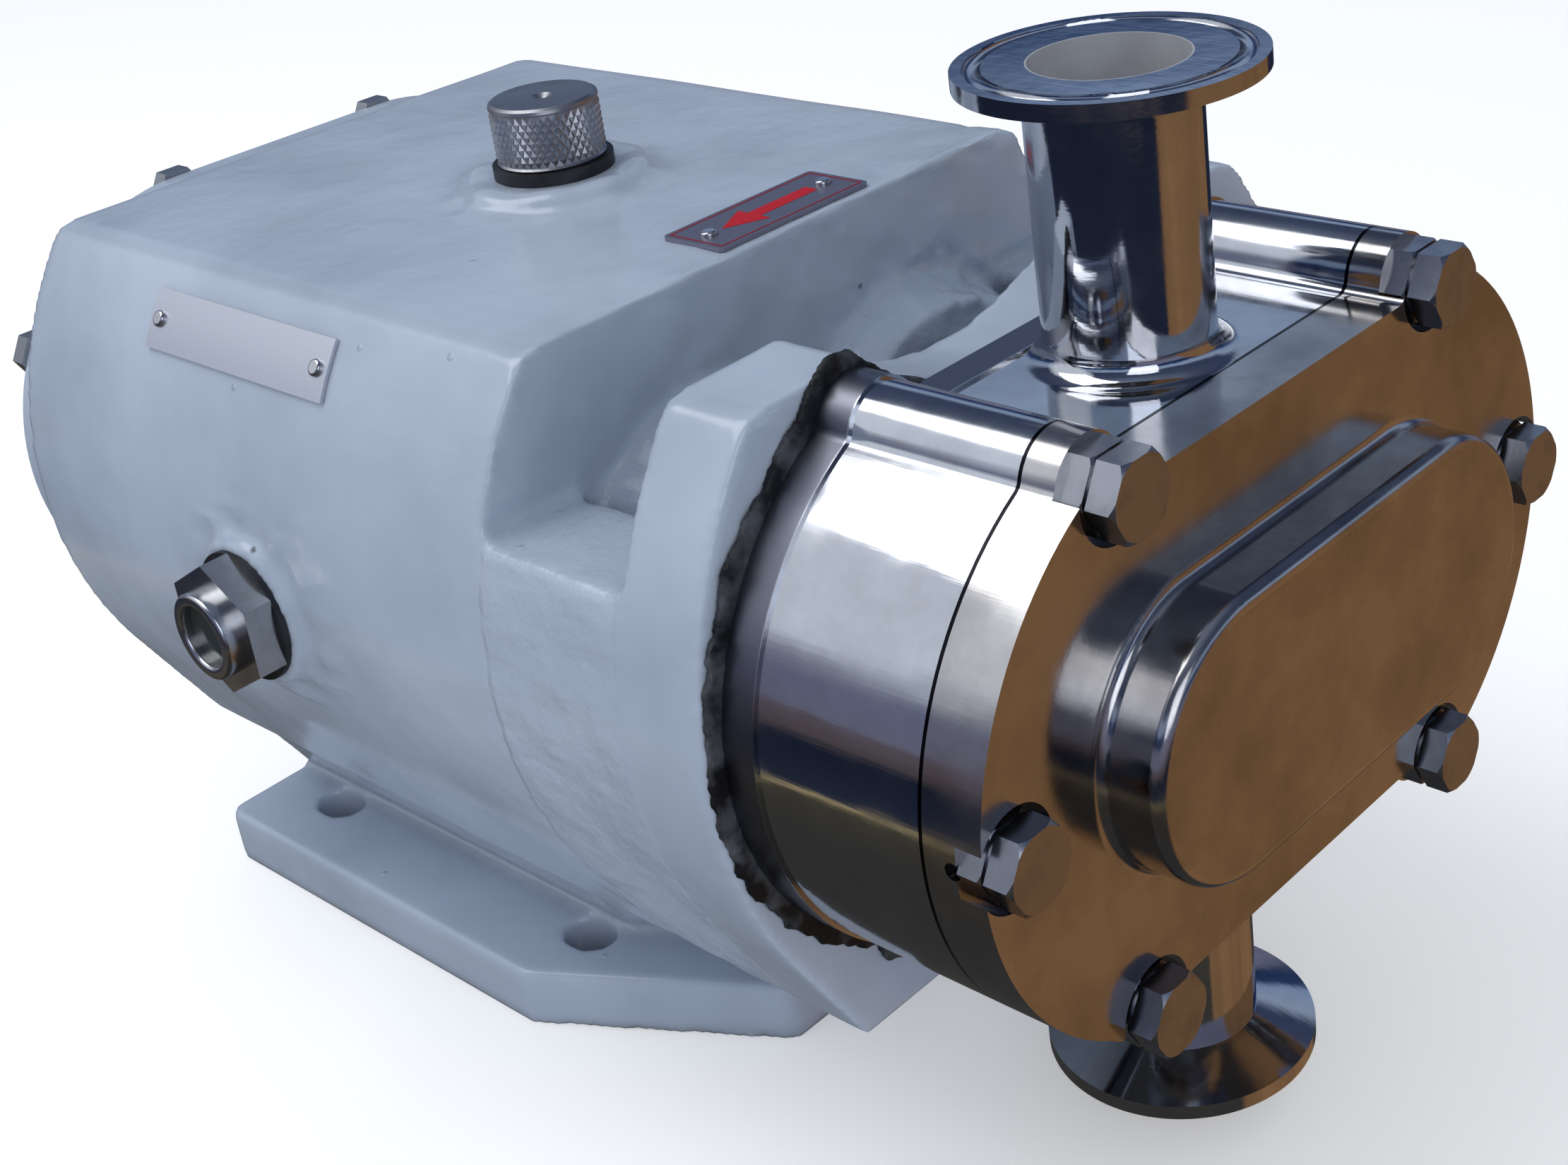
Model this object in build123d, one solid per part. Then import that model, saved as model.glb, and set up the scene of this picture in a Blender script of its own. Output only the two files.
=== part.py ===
from build123d import *
import math
import os

# Rotary lobe pump on a one-piece cast gearbox.
# Frame: millimetres, origin in the middle of the foot bolt pattern on the foot's lower face,
# +Z up, the pump head looks along -Y, the two shafts lie side by side along Y.

# ---- shafts ---------------------------------------------------------------------------
shaft_height = 107.0        # shaft axes above the foot face
shaft_spacing = 56.0        # between the two shaft axes
fit_gap = 0.02              # radial gap of fixed and running fits
run_gap = 0.3               # end gap between turning and fixed faces

# ---- gearbox casting ------------------------------------------------------------------
body_radius = 85.0          # round flanks, about the middle of the two shafts
body_flat = 55.0            # flat top above the shaft axes
body_floor = 68.0           # underside of the body below the shaft axes
flank_turn = 30.0           # degrees below the axis where the flank turns straight
top_blend = 7.0             # soft edge between flat top and flank
adapter_reach = 140.5       # adapter face ahead of the foot pattern's middle
adapter_thick = 19.0
lantern_length = 35.0       # open window between adapter and gear case
lantern_floor = 26.0        # side shelves of the window above the shaft axes
lantern_half = 59.0         # half width of the deep middle of the window
lantern_depth = 42.0        # deep middle below the shaft axes
saddle_radius = 60.0        # dip in the adapter's top edge
saddle_low = 40.0           # lowest point of the dip above the shaft axes
adapter_bore = 22.0         # opening in the adapter around each shaft
body_rear = 68.0            # rear face behind the foot pattern's middle
front_wall = 22.5           # wall that carries the front bearings
chamber_radius = 44.0       # oil chamber around each shaft
bearing_boss = 30.0         # raised ring round each front bearing
bearing_boss_height = 5.0

# ---- foot -----------------------------------------------------------------------------
foot_thick = 13.3
foot_half_width = 64.0
foot_front = 94.0           # front edge ahead of the pattern's middle
foot_front_half = 36.0      # half width of the front edge
foot_corner = 43.0          # where the side turns in towards the front edge
slot_spacing_x = 93.0
slot_spacing_y = 90.0
slot_width = 9.0
slot_length = 12.0
neck_half_low = 40.0        # pedestal between foot and body
neck_half_high = 55.5
neck_front = 86.0
neck_front_half = 22.0
neck_corner = 52.0
neck_blend = 4.0
foot_edge = 1.6             # soft upper edge of the foot plate

# ---- pump head ------------------------------------------------------------------------
case_radius = 53.5          # outside, about each shaft
case_flat = 45.8            # flat top and bottom between the beads
case_length = 40.5
case_band = 7.0             # plain band at the rear of the case
case_band_step = 0.5
case_wall_rear = 8.5
rotor_bore = 37.6           # rotor chamber about each shaft
bead_radius = 8.0           # round ribs that carry the long bolts
bead_x = 44.4
bead_z = 46.5
bead_blend = 2.5
end_bolt_x = 74.0
gasket_thick = 1.5
gasket_margin = 3.5         # how far the black joint stands out round the case
cover_thick = 11.5
cover_boss_half = 54.0      # raised boss on the cover, half length
cover_boss_radius = 24.5
cover_boss_height = 11.5
cover_boss_cove = 2.0
cover_boss_edge = 2.5
nut_pocket = 15.0           # room for the rotor nuts inside the cover
nut_pocket_depth = 17.0
seal_width = 2.0            # square cover seal
seal_depth = 1.6
seal_margin = 1.3           # rotor bore to seal groove
drain_hole = 1.5            # small witness hole in the cover's left side

# ---- long bolts -----------------------------------------------------------------------
bolt_radius = 4.0
bolt_clearance = 0.25
bolt_across = 13.0
bolt_head = 5.0
lock_nut = 4.2
bolt_joint = 0.7            # thin washer between head and lock nut
seat_depth = 5.0            # spot faces behind the cover's front plane
seat_radius = 8.6
bolt_grip = 15.0            # thread in the adapter

# ---- ports ----------------------------------------------------------------------------
port_back = 30.0            # port axis behind the cover's front plane
port_face = 95.5            # ferrule face from the shaft axes
tube_radius = 14.5
tube_bore = 13.0
passage_bore = 13.5         # way from each port into the rotor chamber
ferrule_radius = 25.25
ferrule_rim = 2.85
ferrule_slope = 20.0
ferrule_groove_radius = 21.75
ferrule_groove = 1.5
weld_leg = 4.0

# ---- rotors ---------------------------------------------------------------------------
lobes = 3
rotor_clearance = 0.18      # each rotor's profile stands back by this much
rotor_seat = 10.0           # shaft radius under the rotor
rotor_nut_radius = 13.0
rotor_nut_length = 10.0
rotor_nut_across = 17.0
rotor_thread = 6.0

# ---- shaft steps ----------------------------------------------------------------------
seal_seat = 11.0            # shaft radius under the shaft seal
journal = 12.5              # shaft radius in the bearings
shoulder = 16.0
gear_seat = 14.0
nut_seat = 13.0
oil_seal_seat = 12.0
shaft_end = 11.0
shaft_end_length = 40.0
key_width = 6.0
key_height = 6.0
key_length = 30.0
key_depth = 3.5
seal_ring_radius = 15.0
seal_seat_radius = 16.0
seal_seat_length = 7.0
seal_ring_length = 8.0
seal_collar_radius = 17.5
seal_collar_length = 10.0

# ---- bearings and oil seals -----------------------------------------------------------
bearing_radius = 26.0
bearing_width = 15.0
shield_inner = 15.5
shield_outer = 22.5
shield_step = 0.8
oil_seal_width = 7.0
rear_seal_radius = 20.0
bearing_lip = 22.0          # opening behind each bearing

# ---- timing gears ---------------------------------------------------------------------
gear_teeth = 16
gear_width = 22.0
gear_back = 28.0            # rear face of the gears ahead of the body's rear face
pressure_angle = 20.0
gear_play = 0.35            # tooth thinning, measured along the pitch circle
gear_nut_across = 36.0
gear_nut_width = 7.0

# ---- rear cover -----------------------------------------------------------------------
rear_radius = 52.0
rear_thick = 12.0
rear_gasket = 0.8
rear_spigot = 13.0
rear_boss = 27.0
rear_boss_height = 4.0
rear_bolt_radius = 3.0
rear_bolt_across = 10.0
rear_bolt_head = 4.0
rear_bolt_grip = 12.0
rear_bolt_inset = 4.0       # bolt circle inside the cover's edge
drain_radius = 5.0
drain_across = 17.0
drain_head = 6.0
drain_drop = 36.0           # drain plug below the shaft axes

# ---- filler cap -----------------------------------------------------------------------
filler_y = -20.0
filler_boss = 20.0
filler_boss_height = 3.0
filler_ring = 12.4
filler_ring_thick = 2.5
filler_cap = 11.3
filler_cap_height = 13.0
filler_stem = 8.0
filler_stem_length = 13.5
stem_gap = 0.08
filler_hole = 1.2           # cross hole in the cap's side
cap_chamfer = 0.8

# ---- oil sight glass ------------------------------------------------------------------
sight_y = -14.0
sight_drop = 5.0
sight_boss = 15.0
sight_boss_height = 2.5     # boss face outside the round flank
sight_gasket = 13.5
sight_gasket_thick = 1.2
sight_across = 24.0
sight_hex = 6.0
sight_mouth = 9.0
sight_mouth_length = 3.6
sight_lens = 6.4
sight_recess = 2.2
sight_lens_thick = 4.0
sight_thread = 8.5
sight_thread_length = 11.0

# ---- plates ---------------------------------------------------------------------------
plate_thick = 0.8
arrow_plate_length = 40.0
arrow_plate_width = 16.0
arrow_plate_x = 5.0
arrow_plate_y = -76.0
arrow_rivet_pitch = 31.0
name_plate_length = 59.5
name_plate_width = 12.0
name_plate_y = -8.3
name_plate_angle = 31.8     # above the horizontal, on the left flank
name_rivet_pitch = 53.0
rivet_radius = 1.7
rivet_height = 0.9
rivet_shank = 1.0
rivet_grip = 4.0

# ---- stations that follow from the sizes ----------------------------------------------
half = shaft_spacing / 2
sight_boss_reach = body_radius + sight_boss_height
body_under = shaft_height - body_floor
adapter_front = -adapter_reach
adapter_rear = adapter_front + adapter_thick
wall_front = adapter_rear + lantern_length
wall_rear = wall_front + front_wall
case_rear = adapter_front - gasket_thick
case_front = case_rear - case_length
cover_front = case_front - cover_thick
chamber_rear = case_rear - case_wall_rear
port_y = cover_front + port_back
rear_plate = body_rear + rear_gasket
rear_face = rear_plate + rear_thick
front_seal_front = wall_front - bearing_boss_height + 0.5
front_bearing_front = front_seal_front + oil_seal_width
front_bearing_rear = front_bearing_front + bearing_width
rear_seal_front = rear_face - oil_seal_width
rear_bearing_rear = rear_seal_front - 2.8
rear_bearing_front = rear_bearing_rear - bearing_width
gear_rear = body_rear - gear_back
gear_front = gear_rear - gear_width
seat_plane = cover_front + seat_depth
bolt_front = seat_plane - lock_nut - bolt_joint - bolt_head
bead_spots = [(sx * bead_x, sz * bead_z) for sx in (-1, 1) for sz in (-1, 1)]
bolt_spots = bead_spots + [(-end_bolt_x, 0.0), (end_bolt_x, 0.0)]
axes_x = {"drive": half, "driven": -half}


def along_y(sketch, y0, y1):
    """A sketch drawn in X and height above the shaft axes, as a prism from y0 to y1."""
    plane = Plane(origin=(0, y1, shaft_height), x_dir=(1, 0, 0), z_dir=(0, -1, 0))
    return extrude(plane * sketch, amount=y1 - y0, dir=(0, -1, 0))


def rod(radius, y0, y1, x=0.0, z=0.0):
    """A round bar along Y; z is measured from the shaft axes."""
    spot = Pos(x, y0, shaft_height + z) * Rot(-90, 0, 0)
    return spot * Cylinder(radius, y1 - y0, align=(Align.CENTER, Align.CENTER, Align.MIN))


def ring(outer, inner, y0, y1, x=0.0, z=0.0):
    return rod(outer, y0, y1, x, z) - rod(inner, y0 - 1, y1 + 1, x, z)


def post(radius, z0, z1, x=0.0, y=0.0):
    """A round bar along Z; heights are measured from the shaft axes."""
    spot = Pos(x, y, shaft_height + z0)
    return spot * Cylinder(radius, z1 - z0, align=(Align.CENTER, Align.CENTER, Align.MIN))


def twin(radius, spread=half):
    """Stadium round both shaft axes."""
    return SlotCenterToCenter(2 * spread, 2 * radius)


def hexagon(across):
    return RegularPolygon(across / 2, 6, major_radius=False)


def hex_along_y(across, y0, y1, x, z, nose):
    """Hexagon bar along Y whose corners are turned off at the y0 end."""
    bar = along_y(Pos(x, z) * hexagon(across), y0, y1)
    corner = across / math.sqrt(3)
    turned = rod(corner, y0, y1, x, z)
    turned = chamfer(turned.edges().sort_by(Axis.Y)[0], nose)
    return bar & turned


def head_outline(grow=0.0):
    """Outside of case and cover: two big rounds, flats between, four beads; `grow` moves it out."""
    flat = case_flat + grow
    lens = Pos(-half, 0) * Circle(case_radius + grow) + Pos(half, 0) * Circle(case_radius + grow)
    lens += Rectangle(2 * half, 2 * flat)
    high = Rectangle(2 * bead_x, case_radius, align=(Align.CENTER, Align.MIN))
    lens -= Pos(0, flat) * high
    lens -= Pos(0, -flat) * Rot(0, 0, 180) * high
    for x, z in bead_spots:
        lens += Pos(x, z) * Circle(bead_radius + grow)
    creases = [v for v in lens.vertices() if abs(abs(v.Y) - flat) < bead_radius + grow]
    return fillet(creases, bead_blend)


def bolt_holes(radius, y0, y1):
    holes = Part()
    for x, z in bolt_spots:
        holes += rod(radius, y0, y1, x, z)
    return holes


def save(node, shape):
    shape.label = node
    export_step(shape, f"parts/{node}.step")


# ---- gearbox housing ------------------------------------------------------------------
def body_outline():
    top_x = math.sqrt(body_radius**2 - body_flat**2)
    turn = math.radians(flank_turn)
    low_x, low_z = body_radius * math.cos(turn), -body_radius * math.sin(turn)
    floor_x = low_x - (body_floor + low_z) * math.tan(turn)
    edge = Line((-top_x, body_flat), (top_x, body_flat))
    edge += ThreePointArc((top_x, body_flat), (body_radius, 0), (low_x, low_z))
    edge += Polyline((low_x, low_z), (floor_x, -body_floor), (-floor_x, -body_floor), (-low_x, low_z))
    edge += ThreePointArc((-low_x, low_z), (-body_radius, 0), (-top_x, body_flat))
    return make_face(edge)


def foot_outline(half_width, corner, front_half, front):
    return Polygon(
        (-half_width, body_rear), (-half_width, -corner), (-front_half, -front),
        (front_half, -front), (half_width, -corner), (half_width, body_rear), align=None)


def foot_plate():
    outline = foot_outline(foot_half_width, foot_corner, foot_front_half, foot_front)
    foot = extrude(outline, foot_thick, dir=(0, 0, 1))
    foot = fillet(foot.edges().filter_by(Axis.Z), neck_blend)
    return fillet(foot.faces().sort_by(Axis.Z)[-1].edges(), foot_edge)


def gearbox_foot():
    """Foot plate and the pedestal that carries the round body."""
    foot = foot_plate()
    low = Pos(0, 0, foot_thick) * foot_outline(neck_half_low, neck_corner, neck_front_half, neck_front)
    high = Pos(0, 0, body_under) * foot_outline(neck_half_high, neck_corner, neck_front_half, neck_front)
    foot += loft(Sketch() + [low, high])
    spots = GridLocations(slot_spacing_x, slot_spacing_y, 2, 2)
    slots = Sketch() + spots * SlotOverall(slot_length, slot_width, rotation=90)
    return foot - extrude(slots, foot_thick + 1)


def body_blank(y0, y1):
    """The round body between two stations, its top edges softened."""
    body = along_y(body_outline(), y0, y1)
    ridge = body.edges().filter_by(Axis.Y).filter_by_position(
        Axis.Z, shaft_height + body_flat - 0.1, shaft_height + body_flat + 0.1)
    return fillet(ridge, top_blend)


def adapter_flange():
    """Front plate of the casting: dip in its top edge, opening round both shafts."""
    flange = body_blank(adapter_front, adapter_rear)
    flange -= rod(saddle_radius, adapter_front - 1, adapter_rear + 1, 0, saddle_low + saddle_radius)
    flange -= along_y(twin(adapter_bore), adapter_front - 1, adapter_rear + 1)
    return flange - bolt_holes(bolt_radius + fit_gap, adapter_front - 1, adapter_front + bolt_grip + 1)


def lantern_cradle():
    """Lower half of the open window: a side shelf either side of a deep middle."""
    cradle = body_blank(adapter_rear, wall_front)
    high_cut = Rectangle(4 * body_radius, body_radius, align=(Align.CENTER, Align.MIN))
    cradle -= along_y(Pos(0, lantern_floor) * high_cut, adapter_rear - 1, wall_front + 1)
    well = RectangleRounded(2 * lantern_half, 2 * lantern_depth, lantern_depth / 2)
    return cradle - along_y(well, adapter_rear - 1, wall_front + 1)


def gearbox_housing():
    """Gear case behind the lantern, with the wall that carries the front bearings."""
    body = body_blank(wall_front, body_rear)
    for x in axes_x.values():
        body += rod(bearing_boss, wall_front - bearing_boss_height, wall_front, x)
    body -= along_y(twin(chamber_radius), wall_rear, body_rear + 1)
    for x in axes_x.values():
        body -= rod(bearing_radius + fit_gap, wall_front - bearing_boss_height - 1, front_bearing_rear, x)
        body -= rod(bearing_lip, front_bearing_rear - 1, wall_rear + 1, x)

    # filler boss, sight glass boss
    boss = Pos(0, filler_y, shaft_height + body_flat) * Cone(
        filler_boss, filler_boss - 1.5, filler_boss_height, align=(Align.CENTER, Align.CENTER, Align.MIN))
    body += boss
    body -= post(filler_stem + stem_gap, 0, body_flat + 2 * filler_boss_height, 0, filler_y)
    sight = Pos(-sight_boss_reach, sight_y, shaft_height - sight_drop) * Rot(0, 90, 0)
    stub = Cylinder(sight_boss, sight_boss_reach - half - chamber_radius - 2,
                    align=(Align.CENTER, Align.CENTER, Align.MIN))
    body += sight * stub
    bore = Cylinder(sight_thread + fit_gap, sight_boss_reach - half,
                    align=(Align.CENTER, Align.CENTER, Align.MIN))
    body -= sight * bore

    # holes
    for x, z in rear_bolt_spots():
        body -= rod(rear_bolt_radius + fit_gap, body_rear - rear_bolt_grip - 1, body_rear + 1, x, z)
    for x in (-arrow_rivet_pitch / 2, arrow_rivet_pitch / 2):
        body -= post(rivet_shank + fit_gap, body_flat - rivet_grip, body_flat + 1,
                     arrow_plate_x + x, arrow_plate_y)
    for y in (-name_rivet_pitch / 2, name_rivet_pitch / 2):
        body -= name_frame(y) * Pos(0, 0, -rivet_grip) * Cylinder(
            rivet_shank + fit_gap, 2 * rivet_grip, align=(Align.CENTER, Align.CENTER, Align.CENTER))
    return body


def rear_bolt_spots():
    reach = rear_radius - rear_bolt_inset
    angles = [math.radians(a) for a in (-90, -30, 30, 90)]
    return [(sign * (half + reach * math.cos(a)), reach * math.sin(a))
            for sign in (-1, 1) for a in angles]


def rear_cover():
    plate = along_y(twin(rear_radius), rear_plate, rear_face)
    plate += along_y(twin(chamber_radius - 0.1), body_rear - rear_spigot, rear_plate)
    for x in axes_x.values():
        plate -= rod(bearing_radius + fit_gap, body_rear - rear_spigot - 1, rear_bearing_rear, x)
    x = axes_x["drive"]
    plate += rod(rear_boss, rear_face, rear_face + rear_boss_height, x)
    plate -= rod(bearing_lip - 4, rear_bearing_rear - 1, rear_seal_front + 1, x)
    plate -= rod(rear_seal_radius + fit_gap, rear_seal_front, rear_face + rear_boss_height + 1, x)
    plate -= rod(bearing_lip - 4, rear_bearing_rear - 1, rear_bearing_rear + 2, axes_x["driven"])
    for x, z in rear_bolt_spots():
        plate -= rod(rear_bolt_radius + bolt_clearance, rear_plate - 1, rear_face + 1, x, z)
    plate -= rod(drain_radius + fit_gap, body_rear - rear_spigot - 1, rear_face + 1, 0, -drain_drop)
    return plate


def rear_cover_gasket():
    sheet = along_y(twin(rear_radius) - twin(chamber_radius), body_rear, rear_plate)
    for x, z in rear_bolt_spots():
        sheet -= rod(rear_bolt_radius + bolt_clearance, body_rear - 1, rear_plate + 1, x, z)
    return sheet


def rear_cover_bolts():
    bolts = Part()
    for x, z in rear_bolt_spots():
        head = along_y(Pos(x, z) * hexagon(rear_bolt_across), rear_face, rear_face + rear_bolt_head)
        bolts += head + rod(rear_bolt_radius, body_rear - rear_bolt_grip, rear_face, x, z)
    return bolts


def drain_plug():
    spot = Pos(0, -drain_drop) * hexagon(drain_across)
    return along_y(spot, rear_face, rear_face + drain_head) + rod(
        drain_radius, rear_face - rear_thick, rear_face, 0, -drain_drop)


# ---- bearings, seals ------------------------------------------------------------------
def ball_bearing(y0, x):
    """Sealed ball bearing drawn as one piece with a shield groove in each face."""
    y1 = y0 + bearing_width
    race = ring(bearing_radius, journal + fit_gap, y0, y1, x)
    race -= ring(shield_outer, shield_inner, y0 - 1, y0 + shield_step, x)
    race -= ring(shield_outer, shield_inner, y1 - shield_step, y1 + 1, x)
    return race


def lip_seal(outer, inner, y0, x):
    seal = ring(outer, inner + 0.08, y0, y0 + oil_seal_width, x)
    seal -= ring(outer - 4, inner + 2, y0 - 1, y0 + 1.2, x)
    return seal


def shaft_seal_seat(x):
    return ring(seal_seat_radius - fit_gap, seal_seat + run_gap, case_rear - seal_seat_length, case_rear, x)


def shaft_seal_ring(x):
    y0 = case_rear + run_gap
    y1 = y0 + seal_ring_length
    face = ring(seal_ring_radius, seal_seat + fit_gap, y0, y1, x)
    collar = ring(seal_collar_radius, seal_seat + fit_gap, y1, y1 + seal_collar_length, x)
    return face, collar


# ---- shafts ---------------------------------------------------------------------------
def shaft(x, driven):
    nut_end = case_front + run_gap
    steps = [
        (rotor_thread, nut_end - rotor_nut_length, nut_end),
        (rotor_seat, nut_end, chamber_rear - run_gap),
        (seal_seat, chamber_rear - run_gap, case_rear + 20),
        (journal, case_rear + 20, front_bearing_rear + run_gap),
        (shoulder, front_bearing_rear + run_gap, gear_front),
        (gear_seat, gear_front, gear_rear),
        (nut_seat, gear_rear, rear_bearing_front - run_gap),
        (journal, rear_bearing_front - run_gap, rear_bearing_rear),
    ]
    if not driven:
        steps.append((oil_seal_seat, rear_bearing_rear, rear_face + 1))
        steps.append((shaft_end, rear_face + 1, rear_face + 1 + shaft_end_length))
    bar = Part()
    for radius, y0, y1 in steps:
        bar += rod(radius, y0, y1, x)
    tips = bar.edges().filter_by(GeomType.CIRCLE).sort_by(Axis.Y)
    bar = chamfer([tips[0], tips[-1]], 1.0)
    bar -= gear_key_space(x, 0.0)
    if not driven:
        bar -= end_keyway(x)
    return bar


def gear_key_space(x, slack):
    """Room for the key between shaft and gear."""
    low = gear_seat - key_depth + slack
    block = Box(key_width - 2 * slack, gear_width - 2 - 2 * slack, key_height - 2 * slack,
                align=(Align.CENTER, Align.CENTER, Align.MIN))
    return Pos(x, (gear_front + gear_rear) / 2, shaft_height + low) * block


def end_keyway(x):
    """Open keyway in the drive shaft's end, on the side away from the driven shaft."""
    middle = rear_face + 1 + shaft_end_length / 2
    block = Box(key_height, key_length, key_width, align=(Align.MIN, Align.CENTER, Align.CENTER))
    return Pos(x + shaft_end - key_depth, middle, shaft_height) * block


# ---- timing gears ---------------------------------------------------------------------
def gear_blank(turn):
    """Spur gear outline with involute flanks, turned by `turn` degrees."""
    pitch = shaft_spacing / 2
    module = 2 * pitch / gear_teeth
    base = pitch * math.cos(math.radians(pressure_angle))
    tip, root = pitch + module - 0.2, pitch - 1.25 * module
    inv = math.tan(math.radians(pressure_angle)) - math.radians(pressure_angle)
    half_tooth = math.pi / (2 * gear_teeth) - gear_play / (2 * pitch)

    def flank(radius, side):
        roll = math.acos(base / radius)
        angle = side * (half_tooth + inv - (math.tan(roll) - roll))
        return (radius * math.cos(angle), radius * math.sin(angle))

    def foot_point(side):
        angle = side * (half_tooth + inv)
        return ((root - 1) * math.cos(angle), (root - 1) * math.sin(angle))

    count = 5
    radii = [base + (tip - base) * i / (count - 1) for i in range(count)]
    left = [flank(r, 1) for r in radii]
    right = [flank(r, -1) for r in reversed(radii)]
    outline = Line(foot_point(1), left[0]) + Spline(*left)
    outline += ThreePointArc(left[-1], (tip, 0), right[0])
    outline += Spline(*right) + Line(right[-1], foot_point(-1)) + Line(foot_point(-1), foot_point(1))
    tooth = make_face(outline)
    disc = Circle(root)
    for i in range(gear_teeth):
        disc += Rot(0, 0, turn + 360.0 / gear_teeth * i) * tooth
    return disc


def timing_gear(x, turn):
    gear = along_y(Pos(x, 0) * gear_blank(turn), gear_front, gear_rear)
    gear -= rod(gear_seat + fit_gap, gear_front - 1, gear_rear + 1, x)
    return gear - gear_key_space(x, 0.0)


def gear_nut(x):
    nut = along_y(Pos(x, 0) * hexagon(gear_nut_across), gear_rear, gear_rear + gear_nut_width)
    return nut - rod(nut_seat + fit_gap, gear_rear - 1, gear_rear + gear_nut_width + 1, x)


# ---- rotors ---------------------------------------------------------------------------
def rotor_outline(turn):
    """Lobes are epicycloids and valleys hypocycloids rolled on the pitch circle."""
    pitch = shaft_spacing / 2
    roller = pitch / (2 * lobes)
    span = math.pi / lobes
    steps = 8

    def point(a):
        k = int(a // span)
        if k % 2 == 0:
            big, back = pitch + roller, -1
        else:
            big, back = pitch - roller, 1
        t = a - k * span
        phase = big / roller * t
        x = big * math.cos(t) + back * roller * math.cos(phase)
        y = big * math.sin(t) - roller * math.sin(phase)
        c, s = math.cos(k * span), math.sin(k * span)
        return (x * c - y * s, x * s + y * c)

    points = []
    for i in range(2 * lobes * steps):
        a = (i + 0.5) * span / steps
        (x0, y0), (x1, y1) = point(a - 0.002), point(a + 0.002)
        x, y = point(a)
        length = math.hypot(x1 - x0, y1 - y0)
        nx, ny = -(y1 - y0) / length, (x1 - x0) / length
        points.append((x + rotor_clearance * nx, y + rotor_clearance * ny))
    middle = math.degrees(span / 2)
    return Rot(0, 0, turn - middle) * make_face(Spline(*points, periodic=True))


def rotor(x, turn):
    y0, y1 = case_front + run_gap, chamber_rear - run_gap
    wheel = along_y(Pos(x, 0) * rotor_outline(turn), y0, y1)
    return wheel - rod(rotor_seat + fit_gap, y0 - 1, y1 + 1, x)


def rotor_nut(x):
    y1 = case_front + run_gap
    y0 = y1 - rotor_nut_length
    nut = along_y(Pos(x, 0) * hexagon(rotor_nut_across), y0, y1)
    nut += rod(rotor_nut_radius, y1 - 3, y1, x)
    return nut - rod(rotor_thread + fit_gap, y0 - 1, y1 + 1, x)


# ---- pump case, cover, ports ----------------------------------------------------------
def pump_case():
    outline = head_outline()
    case = along_y(outline, case_front, case_rear - case_band)
    case += along_y(head_outline(case_band_step), case_rear - case_band, case_rear)
    for x in axes_x.values():
        case -= rod(rotor_bore, case_front - 1, chamber_rear, x)
    for x in axes_x.values():
        case -= rod(seal_seat_radius, chamber_rear - 1, case_rear + 1, x)
    case -= post(passage_bore, -case_radius, case_radius, 0, port_y)
    case -= bolt_holes(bolt_radius + bolt_clearance, case_front - 1, case_rear + 1)
    return case


def adapter_gasket():
    outline = head_outline(gasket_margin)
    saddle = Pos(0, saddle_low + saddle_radius) * Circle(saddle_radius)
    sheet = along_y(outline - twin(adapter_bore) - saddle, case_rear, adapter_front)
    return sheet - bolt_holes(bolt_radius + bolt_clearance, case_rear - 1, adapter_front + 1)


def port(up):
    """Tube welded on the case, with a clamp ferrule; `up` is 1 for the top port, -1 below."""
    rim_low = port_face - ferrule_rim
    slope = math.tan(math.radians(ferrule_slope))
    cone_low = rim_low - (ferrule_radius - tube_radius) * slope
    weld = ThreePointArc(
        (tube_radius + weld_leg, case_flat),
        (tube_radius + weld_leg * 0.293, case_flat + weld_leg * 0.293),
        (tube_radius, case_flat + weld_leg))
    edge = Line((tube_bore, case_flat), (tube_radius + weld_leg, case_flat)) + weld
    edge += Polyline(
        (tube_radius, case_flat + weld_leg), (tube_radius, cone_low), (ferrule_radius, rim_low),
        (ferrule_radius, port_face), (tube_bore, port_face), (tube_bore, case_flat))
    body = revolve(Plane.XZ * make_face(edge), Axis.Z)
    body -= Pos(0, 0, port_face) * Torus(ferrule_groove_radius, ferrule_groove)
    if up < 0:
        body = Rot(180, 0, 0) * body
    body = Pos(0, port_y, shaft_height) * body
    return body - along_y(head_outline(case_band_step), case_rear - case_band, case_rear)


def front_cover():
    outline = head_outline()
    cover = along_y(outline, cover_front, case_front)
    boss = along_y(twin(cover_boss_radius, cover_boss_half - cover_boss_radius),
                   cover_front - cover_boss_height, cover_front)
    boss = fillet(boss.faces().sort_by(Axis.Y)[0].edges(), cover_boss_edge)
    cover += boss
    foot = [e for e in cover.edges() if abs(e.center().Y - cover_front) < 0.01
            and abs(e.center().Z - shaft_height) < cover_boss_radius + 0.1
            and abs(e.center().X) < cover_boss_half + 0.1]
    cover = fillet(foot, cover_boss_cove)
    cover -= along_y(twin(nut_pocket), case_front - nut_pocket_depth, case_front + 1)
    inner = rotor_bore + seal_margin
    groove = twin(inner + seal_width + 0.2) - twin(inner)
    cover -= along_y(groove, case_front - seal_depth, case_front + 1)
    cover -= bolt_holes(bolt_radius + bolt_clearance, cover_front - 1, case_front + 1)
    cover -= bolt_holes(seat_radius, cover_front - 1, seat_plane)
    side = Pos(-half - case_radius - 1, (cover_front + case_front) / 2, shaft_height) * Rot(0, 90, 0)
    cover -= side * Cylinder(drain_hole, 5, align=(Align.CENTER, Align.CENTER, Align.MIN))
    return cover


def cover_seal():
    inner = rotor_bore + seal_margin + 0.1
    return along_y(twin(inner + seal_width) - twin(inner), case_front - seal_depth, case_front)


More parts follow.
